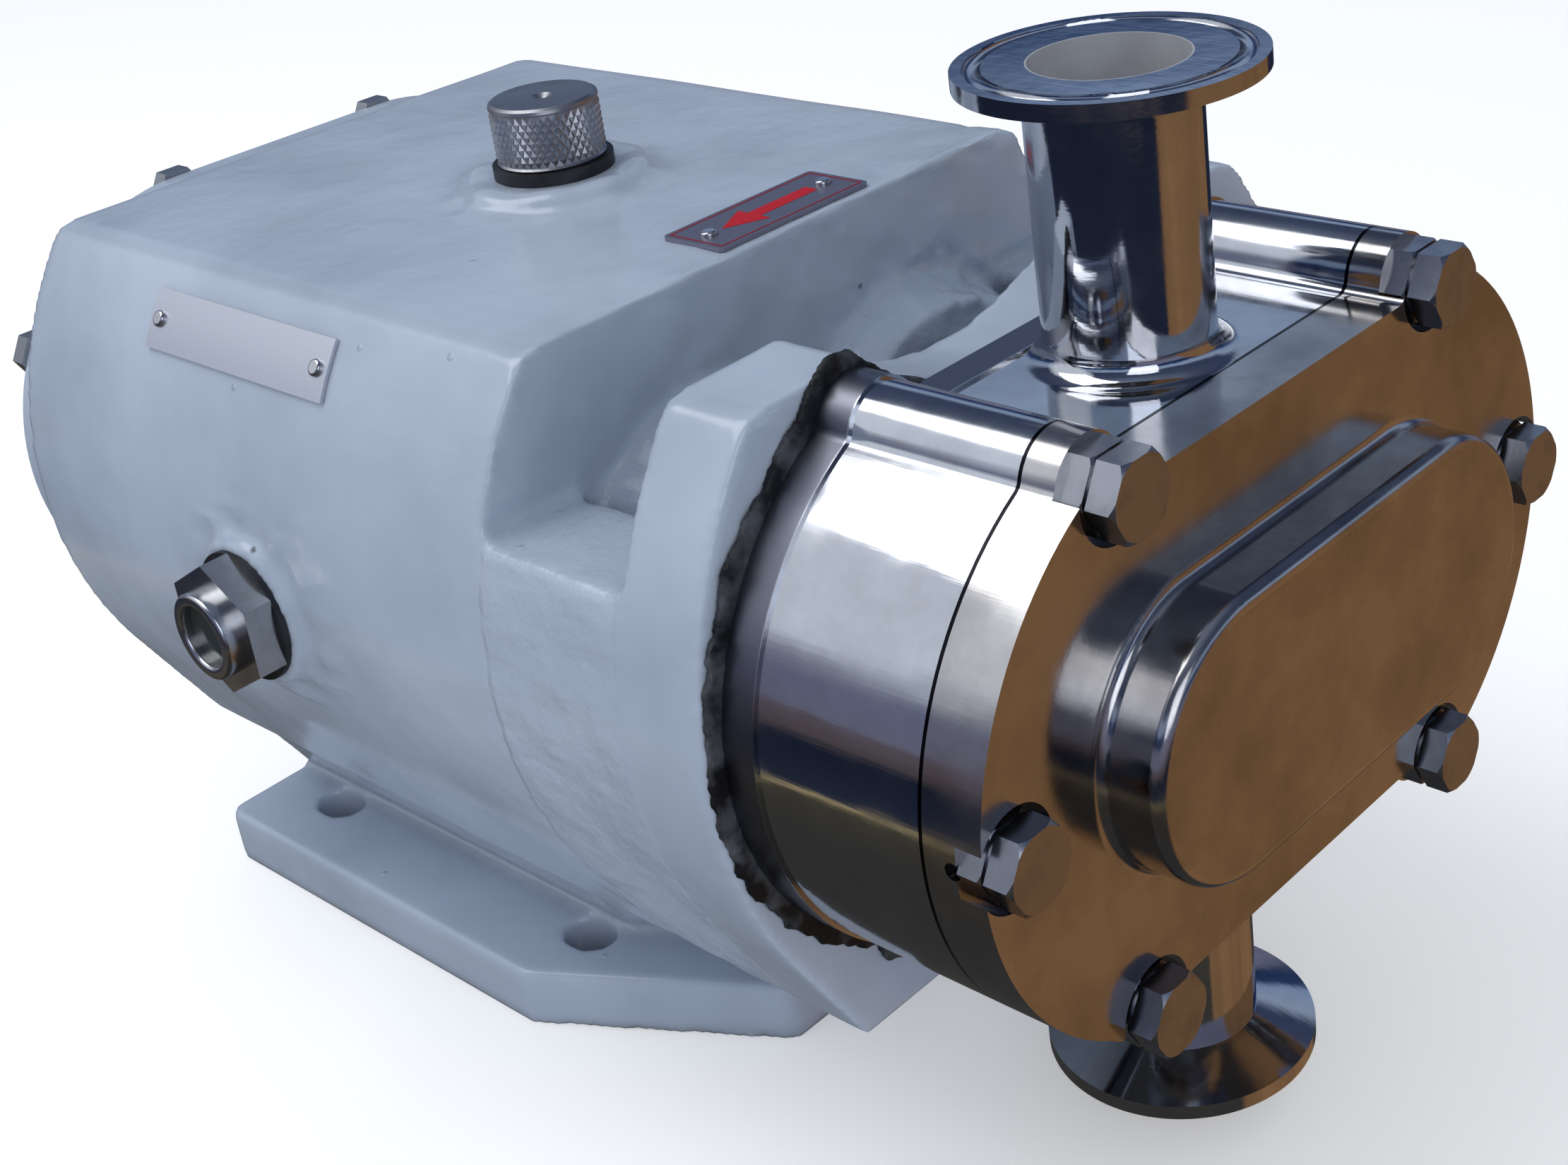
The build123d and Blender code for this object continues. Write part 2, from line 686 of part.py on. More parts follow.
def cover_bolts():
    bolts = Part()
    for x, z in bolt_spots:
        head = hex_along_y(bolt_across, bolt_front, bolt_front + bolt_head, x, z, 0.8)
        washer = rod(bolt_across / 2 - 0.6, bolt_front + bolt_head, bolt_front + bolt_head + bolt_joint, x, z)
        bolts += head + washer + rod(bolt_radius, bolt_front + bolt_head, adapter_front + bolt_grip, x, z)
    return bolts


def cover_lock_nuts():
    nuts = Part()
    for x, z in bolt_spots:
        nut = hex_along_y(bolt_across, seat_plane - lock_nut, seat_plane, x, z, 0.5)
        nuts += nut - rod(bolt_radius + fit_gap, seat_plane - lock_nut - 1, seat_plane + 1, x, z)
    return nuts


# ---- filler cap -----------------------------------------------------------------------
boss_top = body_flat + filler_boss_height
ring_top = boss_top + filler_ring_thick


def filler_cap_seal():
    seal = post(filler_ring, boss_top, ring_top, 0, filler_y)
    return seal - post(filler_stem + stem_gap, boss_top - 1, ring_top + 1, 0, filler_y)


def filler_cap_body():
    cap = post(filler_cap, ring_top, ring_top + filler_cap_height, 0, filler_y)
    cap = chamfer(cap.edges().filter_by(GeomType.CIRCLE), cap_chamfer)
    cap += post(filler_stem, ring_top - filler_stem_length, ring_top, 0, filler_y)
    hole = Pos(-filler_cap, filler_y, shaft_height + ring_top + 4) * Rot(0, 90, 0)
    cap -= hole * Cylinder(filler_hole, 6, align=(Align.CENTER, Align.CENTER, Align.CENTER))
    return cap


# ---- sight glass ----------------------------------------------------------------------
def sight_frame(reach):
    """Local +Z points out of the left flank, starting `reach` from the boss face."""
    return Pos(-sight_boss_reach - reach, sight_y, shaft_height - sight_drop) * Rot(0, -90, 0)


def sight_disc(radius, start, end):
    return sight_frame(start) * Cylinder(radius, end - start, align=(Align.CENTER, Align.CENTER, Align.MIN))


def sight_glass_gasket():
    return sight_disc(sight_gasket, 0, sight_gasket_thick) - sight_disc(sight_thread + fit_gap, -1, 3)


def sight_glass_body():
    hex_end = sight_gasket_thick + sight_hex
    nut = sight_frame(sight_gasket_thick) * extrude(hexagon(sight_across), sight_hex)
    end = hex_end + sight_mouth_length
    nut += sight_disc(sight_mouth, hex_end, end)
    nut += sight_disc(sight_thread, sight_gasket_thick - sight_thread_length, sight_gasket_thick)
    nut -= sight_disc(sight_lens, end - sight_recess - sight_lens_thick, end + 1)
    nut -= sight_disc(sight_lens - 1, -sight_thread_length - 1, end)
    rim = [e for e in nut.edges().filter_by(GeomType.CIRCLE)
           if abs(e.center().X + sight_boss_reach + end) < 0.01]
    return fillet(rim, 0.8)


def sight_glass_lens():
    end = sight_gasket_thick + sight_hex + sight_mouth_length - sight_recess
    return sight_disc(sight_lens, end - sight_lens_thick, end)


# ---- plates ---------------------------------------------------------------------------
def arrow_plate():
    spot = Pos(arrow_plate_x, arrow_plate_y, shaft_height + body_flat)
    plate = spot * extrude(RectangleRounded(arrow_plate_length, arrow_plate_width, 1.0), plate_thick)
    for x in (-arrow_rivet_pitch / 2, arrow_rivet_pitch / 2):
        plate -= post(rivet_shank + fit_gap, body_flat - 1, body_flat + 2, arrow_plate_x + x, arrow_plate_y)
    return plate


def name_frame(y):
    """Local +Z points straight out of the left flank at the name plate."""
    lean = name_plate_angle
    spot = Pos(0, name_plate_y + y, shaft_height) * Rot(0, -90 + lean, 0)
    return spot * Pos(0, 0, body_radius)


def name_plate():
    swing = math.degrees(name_plate_width / body_radius) / 2
    outer, inner = body_radius + plate_thick, body_radius
    y0, y1 = name_plate_y - name_plate_length / 2, name_plate_y + name_plate_length / 2
    shell = ring(outer, inner, y0, y1)
    reach = 2 * body_radius

    def corner(angle):
        a = math.radians(180 - angle)
        return (reach * math.cos(a), reach * math.sin(a))

    wedge = Polygon((0, 0), corner(name_plate_angle - swing), corner(name_plate_angle + swing), align=None)
    plate = shell & along_y(wedge, y0, y1)
    for y in (-name_rivet_pitch / 2, name_rivet_pitch / 2):
        plate -= name_frame(y) * Cylinder(rivet_shank + fit_gap, 4)
    return plate


def rivet():
    """Round-head rivet, head on local +Z, seated on a plate."""
    dome = Pos(0, 0, plate_thick) * Cylinder(
        rivet_radius, rivet_height, align=(Align.CENTER, Align.CENTER, Align.MIN))
    dome = fillet(dome.edges().sort_by(Axis.Z)[-1], rivet_height * 0.7)
    return dome + Pos(0, 0, plate_thick) * Cylinder(
        rivet_shank, plate_thick + rivet_grip - 0.5, align=(Align.CENTER, Align.CENTER, Align.MAX))


def arrow_plate_rivets():
    pair = Part()
    for x in (-arrow_rivet_pitch / 2, arrow_rivet_pitch / 2):
        pair += Pos(arrow_plate_x + x, arrow_plate_y, shaft_height + body_flat) * rivet()
    return pair


def name_plate_rivets():
    pair = Part()
    for y in (-name_rivet_pitch / 2, name_rivet_pitch / 2):
        pair += name_frame(y) * rivet()
    return pair


# ---- write every piece ----------------------------------------------------------------
os.makedirs("parts", exist_ok=True)

save("gearbox_housing", gearbox_housing())
save("gearbox_foot", gearbox_foot())
save("lantern_cradle", lantern_cradle())
save("adapter_flange", adapter_flange())
save("rear_cover", rear_cover())
save("rear_cover_gasket", rear_cover_gasket())
save("rear_cover_bolts", rear_cover_bolts())
save("drain_plug", drain_plug())
save("rear_oil_seal", lip_seal(rear_seal_radius, oil_seal_seat, rear_seal_front, half))
save("adapter_gasket", adapter_gasket())
save("pump_case", pump_case())
save("top_port", port(1))
save("bottom_port", port(-1))
save("front_cover", front_cover())
save("cover_seal", cover_seal())
save("cover_bolts", cover_bolts())
save("cover_lock_nuts", cover_lock_nuts())
save("filler_cap", filler_cap_body())
save("filler_cap_seal", filler_cap_seal())
save("sight_glass_body", sight_glass_body())
save("sight_glass_lens", sight_glass_lens())
save("sight_glass_gasket", sight_glass_gasket())
save("arrow_plate", arrow_plate())
save("arrow_plate_rivets", arrow_plate_rivets())
save("name_plate", name_plate())
save("name_plate_rivets", name_plate_rivets())

gear_turns = {"drive": 180.0, "driven": 180.0 / gear_teeth}
rotor_turns = {"drive": 180.0, "driven": 180.0 / lobes}
for name, x in axes_x.items():
    save(f"{name}_front_bearing", ball_bearing(front_bearing_front, x))
    save(f"{name}_rear_bearing", ball_bearing(rear_bearing_front, x))
    save(f"{name}_front_oil_seal", lip_seal(bearing_radius, journal, front_seal_front, x))
    save(f"{name}_shaft_seal_seat", shaft_seal_seat(x))
    face, collar = shaft_seal_ring(x)
    save(f"{name}_shaft_seal_ring", face)
    save(f"{name}_shaft_seal_collar", collar)
    save(f"{name}_shaft", shaft(x, name == "driven"))
    save(f"{name}_gear", timing_gear(x, gear_turns[name]))
    save(f"{name}_gear_key", gear_key_space(x, 0.0))
    save(f"{name}_gear_nut", gear_nut(x))
    save(f"{name}_rotor", rotor(x, rotor_turns[name]))
    save(f"{name}_rotor_nut", rotor_nut(x))
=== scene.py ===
import logging
import math
from dataclasses import dataclass
from enum import Enum

import bmesh
import bpy
from mathutils import Matrix, Vector, noise


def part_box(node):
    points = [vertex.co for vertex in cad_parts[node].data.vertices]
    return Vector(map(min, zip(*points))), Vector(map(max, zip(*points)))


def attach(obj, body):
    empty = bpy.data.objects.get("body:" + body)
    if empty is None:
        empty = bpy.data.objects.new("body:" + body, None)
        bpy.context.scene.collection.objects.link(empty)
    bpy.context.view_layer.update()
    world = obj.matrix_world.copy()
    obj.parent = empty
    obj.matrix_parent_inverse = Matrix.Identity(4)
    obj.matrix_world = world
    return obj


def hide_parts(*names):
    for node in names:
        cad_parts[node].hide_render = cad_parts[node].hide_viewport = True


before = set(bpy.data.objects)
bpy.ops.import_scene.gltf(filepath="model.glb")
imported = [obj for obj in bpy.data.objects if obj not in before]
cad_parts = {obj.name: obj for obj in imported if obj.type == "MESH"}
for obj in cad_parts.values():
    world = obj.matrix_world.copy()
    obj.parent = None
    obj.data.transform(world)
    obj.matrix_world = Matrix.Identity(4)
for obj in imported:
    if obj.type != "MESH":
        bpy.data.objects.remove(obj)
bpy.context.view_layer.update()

LOG = logging.getLogger("lobe_pump")
MM = 0.001
RGBA = tuple[float, float, float, float]


# ---- small helpers --------------------------------------------------------------------
def linear(code: str) -> RGBA:
    """Turns an sRGB hex colour into a linear one.

    Args:
        code: six hex digits with a leading #.

    Returns:
        Linear red, green, blue and an alpha of 1.
    """
    channels = [int(code[i:i + 2], 16) / 255 for i in (1, 3, 5)]
    bent = [c / 12.92 if c <= 0.04045 else ((c + 0.055) / 1.055) ** 2.4 for c in channels]
    return (bent[0], bent[1], bent[2], 1.0)


def per_mm(size_mm: float) -> float:
    """Scale of a pattern on coordinates in metres whose features are size_mm across."""
    return 1000.0 / size_mm


def add(tree: bpy.types.NodeTree, kind: str, links: dict | None = None, **settings) -> bpy.types.Node:
    """Adds a node with its settings, values and links.

    Args:
        tree: the node tree that gets it.
        kind: the shader node's type name without its prefix.
        links: socket name or number to a value, or to the output socket that feeds it.
        settings: the node's own properties.

    Returns:
        The new node.
    """
    node = tree.nodes.new("ShaderNode" + kind)
    for key, value in settings.items():
        setattr(node, key, value)
    for key, value in (links or {}).items():
        if isinstance(value, bpy.types.NodeSocket):
            tree.links.new(value, node.inputs[key])
        else:
            node.inputs[key].default_value = value
    return node


def place(bm: bmesh.types.BMesh, name: str, body: str, material: bpy.types.Material,
          replaces: tuple[str, ...] = (), sharp_deg: float = 35.0) -> bpy.types.Object:
    """Turns a finished bmesh into a piece of the pump.

    Args:
        bm: the mesh, in place and in metres; it is freed.
        name: the piece's name.
        body: the body that it rides on.
        material: its finish.
        replaces: nodes of the frame that it stands for.
        sharp_deg: edges sharper than this stay sharp in the shading.

    Returns:
        The new object.
    """
    for face in bm.faces:
        face.smooth = True
    for edge in bm.edges:
        edge.smooth = len(edge.link_faces) == 2 and edge.calc_face_angle(0.0) < math.radians(sharp_deg)
    mesh = bpy.data.meshes.new(name)
    bm.to_mesh(mesh)
    bm.free()
    mesh.materials.append(material)
    piece = bpy.data.objects.new(name, mesh)
    bpy.context.scene.collection.objects.link(piece)
    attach(piece, body)
    if replaces:
        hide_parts(*replaces)
    LOG.info("piece %s: %d faces on %s", name, len(mesh.polygons), body)
    return piece


def merged(*nodes: str) -> bmesh.types.BMesh:
    """One bmesh with the merged copies of nodes of the frame."""
    bm = bmesh.new()
    for node in nodes:
        bm.from_mesh(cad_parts[node].data)
    bmesh.ops.remove_doubles(bm, verts=bm.verts, dist=2e-6)
    for face in bm.faces:
        face.material_index = 0
    return bm


def blank(bm: bmesh.types.BMesh, name: str) -> bpy.types.Object:
    """A plain object for modifiers to work on, made from a bmesh that is then freed."""
    mesh = bpy.data.meshes.new(name)
    bm.to_mesh(mesh)
    bm.free()
    piece = bpy.data.objects.new(name, mesh)
    bpy.context.scene.collection.objects.link(piece)
    return piece


def applied(core: bpy.types.Object, *others: bpy.types.Object) -> bmesh.types.BMesh:
    """Applies a blank's modifiers.

    Args:
        core: the blank with the modifiers.
        others: blanks that its modifiers use; all of them are deleted.

    Returns:
        The result as a bmesh.
    """
    graph = bpy.context.evaluated_depsgraph_get()
    result = bpy.data.meshes.new_from_object(core.evaluated_get(graph))
    for part in (core, *others):
        mesh = part.data
        bpy.data.objects.remove(part)
        bpy.data.meshes.remove(mesh)
    bm = bmesh.new()
    bm.from_mesh(result)
    bpy.data.meshes.remove(result)
    return bm


def dress(node: str, material: bpy.types.Material) -> None:
    """Gives a node of the frame its finish."""
    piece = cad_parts[node]
    piece.data.materials.clear()
    piece.data.materials.append(material)
    LOG.info("dressed %s in %s", node, material.name)


# ---- finishes -------------------------------------------------------------------------
@dataclass(frozen=True)
class Finish:
    """What a surface is made of; each kind builds its own node material."""

    name: str
    colour: str

    def open(self) -> tuple[bpy.types.Material, bpy.types.NodeTree, bpy.types.Node, bpy.types.NodeSocket]:
        """A fresh material.

        Returns:
            The material, its tree, its Principled node and the Object coordinate.
        """
        material = bpy.data.materials.new(self.name)
        material.use_nodes = True
        tree = material.node_tree
        shader = tree.nodes["Principled BSDF"]
        shader.inputs["Base Color"].default_value = linear(self.colour)
        coords = add(tree, "TexCoord").outputs["Object"]
        return material, tree, shader, coords


@dataclass(frozen=True)
class CastEnamel(Finish):
    """Thick brushed enamel on a sand casting: glossy, a little wavy, with pits and blisters.

    The paint levels into a soft orange peel, pools in the corners and lets the larger lumps
    of the sand mould show through. Painted shade, drawn from the occlusion, greys the inner corners.
    """

    # a second tone mixed in at random; its blue is painted sky light, as in the enamel colour given in
    # main()
    shade: str = "#A0ACBD"
    # painted shade: the grey laid into the inner corners
    painted_corner_shade: str = "#6F7076"
    gloss: float = 0.2
    peel_mm: float = 2.2
    lump_mm: float = 9.0
    blister_mm: float = 9.5
    cloud_mm: float = 38.0
    speck_mm: float = 5.0
    stroke_mm: float = 14.0
    blisters: float = 0.28
    open_ones: float = 0.14
    # painted shade: the dark grey inside an open pit
    pit_shade_colour: str = "#3C3A3C"
    rough_from_mm: float = 0.0
    rough_to_mm: float = 0.0
    rough_above_mm: float = 0.0

    def build(self) -> bpy.types.Material:
        """Builds the enamel."""
        material, tree, shader, coords = self.open()
        cloud = add(tree, "TexNoise", {"Vector": coords, "Scale": per_mm(self.cloud_mm), "Detail": 3.0})
        tone = add(tree, "MapRange", {"Value": cloud.outputs["Fac"], "From Min": 0.35, "From Max": 0.7})
        paint = add(tree, "Mix", {0: tone.outputs[0], 6: linear(self.colour), 7: linear(self.shade)},
                    data_type="RGBA")
        # painted shade: where the ambient occlusion is high, the inner corners turn grey, broken up by
        # speckle noise
        corner = add(tree, "AmbientOcclusion", {"Distance": 7 * MM}, samples=8)
        speck = add(tree, "TexNoise", {"Vector": coords, "Scale": per_mm(self.speck_mm), "Detail": 4.0})
        corner_shade_mask = add(tree, "MapRange", {"Value": corner.outputs["AO"], "From Min": 0.75, "From Max": 0.15})
        corner_shade_mask = add(tree, "Math", {0: corner_shade_mask.outputs[0], 1: speck.outputs["Fac"]}, operation="MULTIPLY",
                   use_clamp=True)
        paint = add(tree, "Mix", {0: corner_shade_mask.outputs[0], 6: paint.outputs[2], 7: linear(self.painted_corner_shade)},
                    data_type="RGBA")

        # blisters stand out of the paint; a few of them open as pits, and painted shade greys the inside of
        # each open pit
        cell = add(tree, "TexVoronoi", {"Vector": coords, "Scale": per_mm(self.blister_mm),
                                        "Randomness": 1.0})
        few = add(tree, "SeparateColor", {"Color": cell.outputs["Color"]})
        picked = add(tree, "Math", {0: few.outputs["Red"], 1: 1 - self.blisters}, operation="GREATER_THAN")
        dome = add(tree, "MapRange", {"Value": cell.outputs["Distance"], "From Min": 0.1, "From Max": 0.02},
                   interpolation_type="SMOOTHSTEP")
        dome = add(tree, "Math", {0: dome.outputs[0], 1: picked.outputs[0]}, operation="MULTIPLY")
        opened = add(tree, "Math", {0: few.outputs["Green"], 1: 1 - self.open_ones},
                     operation="GREATER_THAN")
        pit = add(tree, "Math", {0: dome.outputs[0], 1: opened.outputs[0]}, operation="MULTIPLY")
        paint = add(tree, "Mix", {0: pit.outputs[0], 6: paint.outputs[2], 7: linear(self.pit_shade_colour)},
                    data_type="RGBA")
        tree.links.new(paint.outputs[2], shader.inputs["Base Color"])

        # gloss varies a little with the brush strokes
        stroke = add(tree, "TexNoise", {"Vector": coords, "Scale": per_mm(self.stroke_mm), "Detail": 2.0})
        gloss = add(tree, "MapRange", {"Value": stroke.outputs["Fac"], "To Min": self.gloss - 0.05,
                                       "To Max": self.gloss + 0.12})
        tree.links.new(gloss.outputs[0], shader.inputs["Roughness"])
        shader.inputs["Coat Weight"].default_value = 0.25
        shader.inputs["Coat Roughness"].default_value = 0.12

        lumps = add(tree, "TexNoise", {"Vector": coords, "Scale": per_mm(self.lump_mm), "Detail": 2.0})
        bump = add(tree, "Bump", {"Height": lumps.outputs["Fac"], "Strength": 0.4, "Distance": 0.6 * MM})
        peel = add(tree, "TexNoise", {"Vector": coords, "Scale": per_mm(self.peel_mm), "Detail": 2.0})
        bump = add(tree, "Bump", {"Height": peel.outputs["Fac"], "Strength": 0.22, "Distance": 0.14 * MM,
                                  "Normal": bump.outputs[0]})
        bump = add(tree, "Bump", {"Height": dome.outputs[0], "Strength": 0.8, "Distance": 0.35 * MM,
                                  "Normal": bump.outputs[0]})
        if self.rough_to_mm > self.rough_from_mm:
            bump = self.rough_band(tree, coords, bump)
        tree.links.new(bump.outputs[0], shader.inputs["Normal"])
        return material

    def rough_band(self, tree: bpy.types.NodeTree, coords: bpy.types.NodeSocket,
                   under: bpy.types.Node) -> bpy.types.Node:
        """Rough as-cast skin inside the lantern, where no file or filler reached.

        Args:
            tree: the material's tree.
            coords: the Object coordinate.
            under: the bump that it adds to.

        Returns:
            The bump with the rough skin.
        """
        axes = add(tree, "SeparateXYZ", {0: coords})
        low = add(tree, "MapRange", {"Value": axes.outputs["Y"], "From Min": self.rough_from_mm * MM,
                                     "From Max": (self.rough_from_mm + 1.0) * MM})
        high = add(tree, "MapRange", {"Value": axes.outputs["Y"], "From Min": self.rough_to_mm * MM,
                                      "From Max": (self.rough_to_mm - 1.0) * MM})
        up = add(tree, "MapRange", {"Value": axes.outputs["Z"], "From Min": self.rough_above_mm * MM,
                                    "From Max": (self.rough_above_mm + 2.0) * MM})
        mask = add(tree, "Math", {0: low.outputs[0], 1: high.outputs[0]}, operation="MULTIPLY")
        mask = add(tree, "Math", {0: mask.outputs[0], 1: up.outputs[0]}, operation="MULTIPLY")
        skin = add(tree, "TexNoise", {"Vector": coords, "Scale": per_mm(self.speck_mm), "Detail": 5.0,
                                      "Roughness": 0.6})
        height = add(tree, "Math", {0: skin.outputs["Fac"], 1: mask.outputs[0]}, operation="MULTIPLY")
        return add(tree, "Bump", {"Height": height.outputs[0], "Strength": 0.7, "Distance": 0.9 * MM,
                                  "Normal": under.outputs[0]})


@dataclass(frozen=True)
class PolishedStainless(Finish):
    """Stainless steel buffed to a mirror by hand: waves in the reflections, hairlines, smears.

    A band in Y can stay satin, as turned and not buffed. A joint line in Y is a dark hairline,
    and the wall of a bore is left as drawn.
    """

    roughness: float = 0.06
    wave_mm: float = 16.0
    wave: float = 0.12
    mottle: float = 0.25
    smear_mm: float = 22.0
    haze_mm: float = 30.0
    hair_mm: float = 0.9
    satin: float = 0.34
    drawn: float = 0.5
    joint_half: float = 0.35 * MM
    haze_colour: str = "#5A5458"
    satin_colour: str = "#7C7E88"
    joint_colour: str = "#1A1A1E"
    satin_from_mm: float | None = None
    satin_to_mm: float = 0.0
    joint_mm: float | None = None
    bore_mm: tuple[float, float, float] | None = None

    def build(self) -> bpy.types.Material:
        """Builds the polished steel."""
        material, tree, shader, coords = self.open()
        shader.inputs["Metallic"].default_value = 1.0
        smear = add(tree, "TexNoise", {"Vector": coords, "Scale": per_mm(self.smear_mm), "Detail": 5.0,
                                       "Roughness": 0.6})
        rough = add(tree, "MapRange", {"Value": smear.outputs["Fac"], "From Min": 0.4, "From Max": 0.72,
                                       "To Min": self.roughness, "To Max": self.roughness + 0.14})
        value = rough.outputs[0]
        haze = add(tree, "TexNoise", {"Vector": coords, "Scale": per_mm(self.haze_mm), "Detail": 5.0,
                                      "Roughness": 0.65})
        haze = add(tree, "MapRange", {"Value": haze.outputs["Fac"], "From Min": 0.4, "From Max": 0.68,
                                      "To Max": self.mottle})
        tint = add(tree, "Mix", {0: haze.outputs[0], 6: linear(self.colour), 7: linear(self.haze_colour)},
                   data_type="RGBA").outputs[2]
        axes = add(tree, "SeparateXYZ", {0: coords})
        if self.satin_from_mm is not None:
            low = add(tree, "MapRange", {"Value": axes.outputs["Y"], "From Min": self.satin_from_mm * MM,
                                         "From Max": (self.satin_from_mm + 0.4) * MM})
            high = add(tree, "MapRange", {"Value": axes.outputs["Y"], "From Min": self.satin_to_mm * MM,
                                          "From Max": (self.satin_to_mm - 0.4) * MM})
            band = add(tree, "Math", {0: low.outputs[0], 1: high.outputs[0]}, operation="MULTIPLY")
            mixed = add(tree, "Mix", {0: band.outputs[0], 2: value, 3: self.satin})
            value = mixed.outputs[0]
            tint = add(tree, "Mix", {0: band.outputs[0], 6: tint, 7: linear(self.satin_colour)},
                       data_type="RGBA").outputs[2]
        if self.joint_mm is not None:
            line = add(tree, "Math", {0: axes.outputs["Y"], 1: self.joint_mm * MM, 2: self.joint_half},
                       operation="COMPARE")
            tint = add(tree, "Mix", {0: line.outputs[0], 6: tint, 7: linear(self.joint_colour)},
                       data_type="RGBA").outputs[2]
        if self.bore_mm is not None:
            middle = (self.bore_mm[0] * MM, self.bore_mm[1] * MM, 0.0)
            flat = add(tree, "VectorMath", {0: coords, 1: (1.0, 1.0, 0.0)}, operation="MULTIPLY")
            off = add(tree, "VectorMath", {0: flat.outputs[0], 1: middle}, operation="DISTANCE")
            inside = add(tree, "Math", {0: off.outputs["Value"], 1: self.bore_mm[2] * MM},
                         operation="LESS_THAN")
            mixed = add(tree, "Mix", {0: inside.outputs[0], 2: value, 3: self.drawn})
            value = mixed.outputs[0]
            drawn = add(tree, "Math", {0: inside.outputs[0], 1: -0.6, 2: 1.0}, operation="MULTIPLY_ADD")
            tree.links.new(drawn.outputs[0], shader.inputs["Metallic"])
        tree.links.new(tint, shader.inputs["Base Color"])
        tree.links.new(value, shader.inputs["Roughness"])

        # hairlines from the mop, drawn coarser than the real 0.2 mm so that they show
        grain = add(tree, "Mapping", {"Vector": coords, "Scale": (1.0, 0.06, 1.0)})
        hair = add(tree, "TexNoise", {"Vector": grain.outputs[0], "Scale": per_mm(self.hair_mm),
                                      "Detail": 3.0})
        bump = add(tree, "Bump", {"Height": hair.outputs["Fac"], "Strength": 0.14, "Distance": 0.06 * MM})
        waves = add(tree, "TexNoise", {"Vector": coords, "Scale": per_mm(self.wave_mm), "Detail": 2.0})
        bump = add(tree, "Bump", {"Height": waves.outputs["Fac"], "Strength": self.wave,
                                  "Distance": 0.35 * MM, "Normal": bump.outputs[0]})
        tree.links.new(bump.outputs[0], shader.inputs["Normal"])
        return material


@dataclass(frozen=True)
class TurnedSteel(Finish):
    """Machined steel with the fine lines that a tool leaves, and a little handling wear."""

    roughness: float = 0.28
    line_mm: float = 0.9
    line: float = 0.1
    stain: str = "#6C6A68"
    stained: float = 0.35

    def build(self) -> bpy.types.Material:
        """Builds the machined steel."""
        material, tree, shader, coords = self.open()
        shader.inputs["Metallic"].default_value = 1.0
        blot = add(tree, "TexNoise", {"Vector": coords, "Scale": per_mm(6), "Detail": 4.0})
        dull = add(tree, "MapRange", {"Value": blot.outputs["Fac"], "From Min": 0.5, "From Max": 0.75,
                                      "To Max": self.stained})
        tint = add(tree, "Mix", {0: dull.outputs[0], 6: linear(self.colour), 7: linear(self.stain)},
                   data_type="RGBA")
        tree.links.new(tint.outputs[2], shader.inputs["Base Color"])
        rough = add(tree, "MapRange", {"Value": blot.outputs["Fac"], "To Min": self.roughness - 0.08,
                                       "To Max": self.roughness + 0.16})
        tree.links.new(rough.outputs[0], shader.inputs["Roughness"])
        grain = add(tree, "Mapping", {"Vector": coords, "Scale": (0.08, 1.0, 0.08)})
        lines = add(tree, "TexNoise", {"Vector": grain.outputs[0], "Scale": per_mm(self.line_mm),
                                       "Detail": 3.0})
        bump = add(tree, "Bump", {"Height": lines.outputs["Fac"], "Strength": self.line,
                                  "Distance": 0.1 * MM})
        tree.links.new(bump.outputs[0], shader.inputs["Normal"])
        return material


@dataclass(frozen=True)
class Elastomer(Finish):
    """Black rubber or joint paste: matt to satin, with a dusty bloom and an uneven skin."""

    bloom: str = "#34353A"
    roughness: float = 0.55
    skin_mm: float = 1.6
    skin: float = 0.35

    def build(self) -> bpy.types.Material:
        """Builds the rubber."""
        material, tree, shader, coords = self.open()
        dust = add(tree, "TexNoise", {"Vector": coords, "Scale": per_mm(8), "Detail": 4.0})
        patch = add(tree, "MapRange", {"Value": dust.outputs["Fac"], "From Min": 0.45, "From Max": 0.75})
        tint = add(tree, "Mix", {0: patch.outputs[0], 6: linear(self.colour), 7: linear(self.bloom)},
                   data_type="RGBA")
        tree.links.new(tint.outputs[2], shader.inputs["Base Color"])
        shader.inputs["Roughness"].default_value = self.roughness
        shader.inputs["Specular IOR Level"].default_value = 0.4
        grit = add(tree, "TexNoise", {"Vector": coords, "Scale": per_mm(self.skin_mm), "Detail": 3.0})
        bump = add(tree, "Bump", {"Height": grit.outputs["Fac"], "Strength": self.skin,
                                  "Distance": 0.3 * MM})
        tree.links.new(bump.outputs[0], shader.inputs["Normal"])
        return material


@dataclass(frozen=True)
class RolledAluminium(Finish):
    """Anodised aluminium sheet: fine rolling lines one way and a soft cool sheen."""

    roughness: float = 0.36

    def build(self) -> bpy.types.Material:
        """Builds the sheet metal."""
        material, tree, shader, coords = self.open()
        shader.inputs["Metallic"].default_value = 0.85
        grain = add(tree, "Mapping", {"Vector": coords, "Scale": (0.05, 1.0, 1.0)})
        lines = add(tree, "TexNoise", {"Vector": grain.outputs[0], "Scale": per_mm(0.7), "Detail": 2.0})
        rough = add(tree, "MapRange", {"Value": lines.outputs["Fac"], "To Min": self.roughness - 0.08,
                                       "To Max": self.roughness + 0.12})
        tree.links.new(rough.outputs[0], shader.inputs["Roughness"])
        bump = add(tree, "Bump", {"Height": lines.outputs["Fac"], "Strength": 0.08, "Distance": 0.05 * MM})
        tree.links.new(bump.outputs[0], shader.inputs["Normal"])
        return material


@dataclass(frozen=True)
class ScreenInk(Finish):
    """Screen-printed ink on metal: flat colour with a faint mottle and soft gloss."""

    def build(self) -> bpy.types.Material:
        """Builds the ink."""
        material, tree, shader, coords = self.open()
        mottle = add(tree, "TexNoise", {"Vector": coords, "Scale": per_mm(1.5), "Detail": 2.0})
        rough = add(tree, "MapRange", {"Value": mottle.outputs["Fac"], "To Min": 0.3, "To Max": 0.5})
        tree.links.new(rough.outputs[0], shader.inputs["Roughness"])
        shader.inputs["Specular IOR Level"].default_value = 0.2
        return material


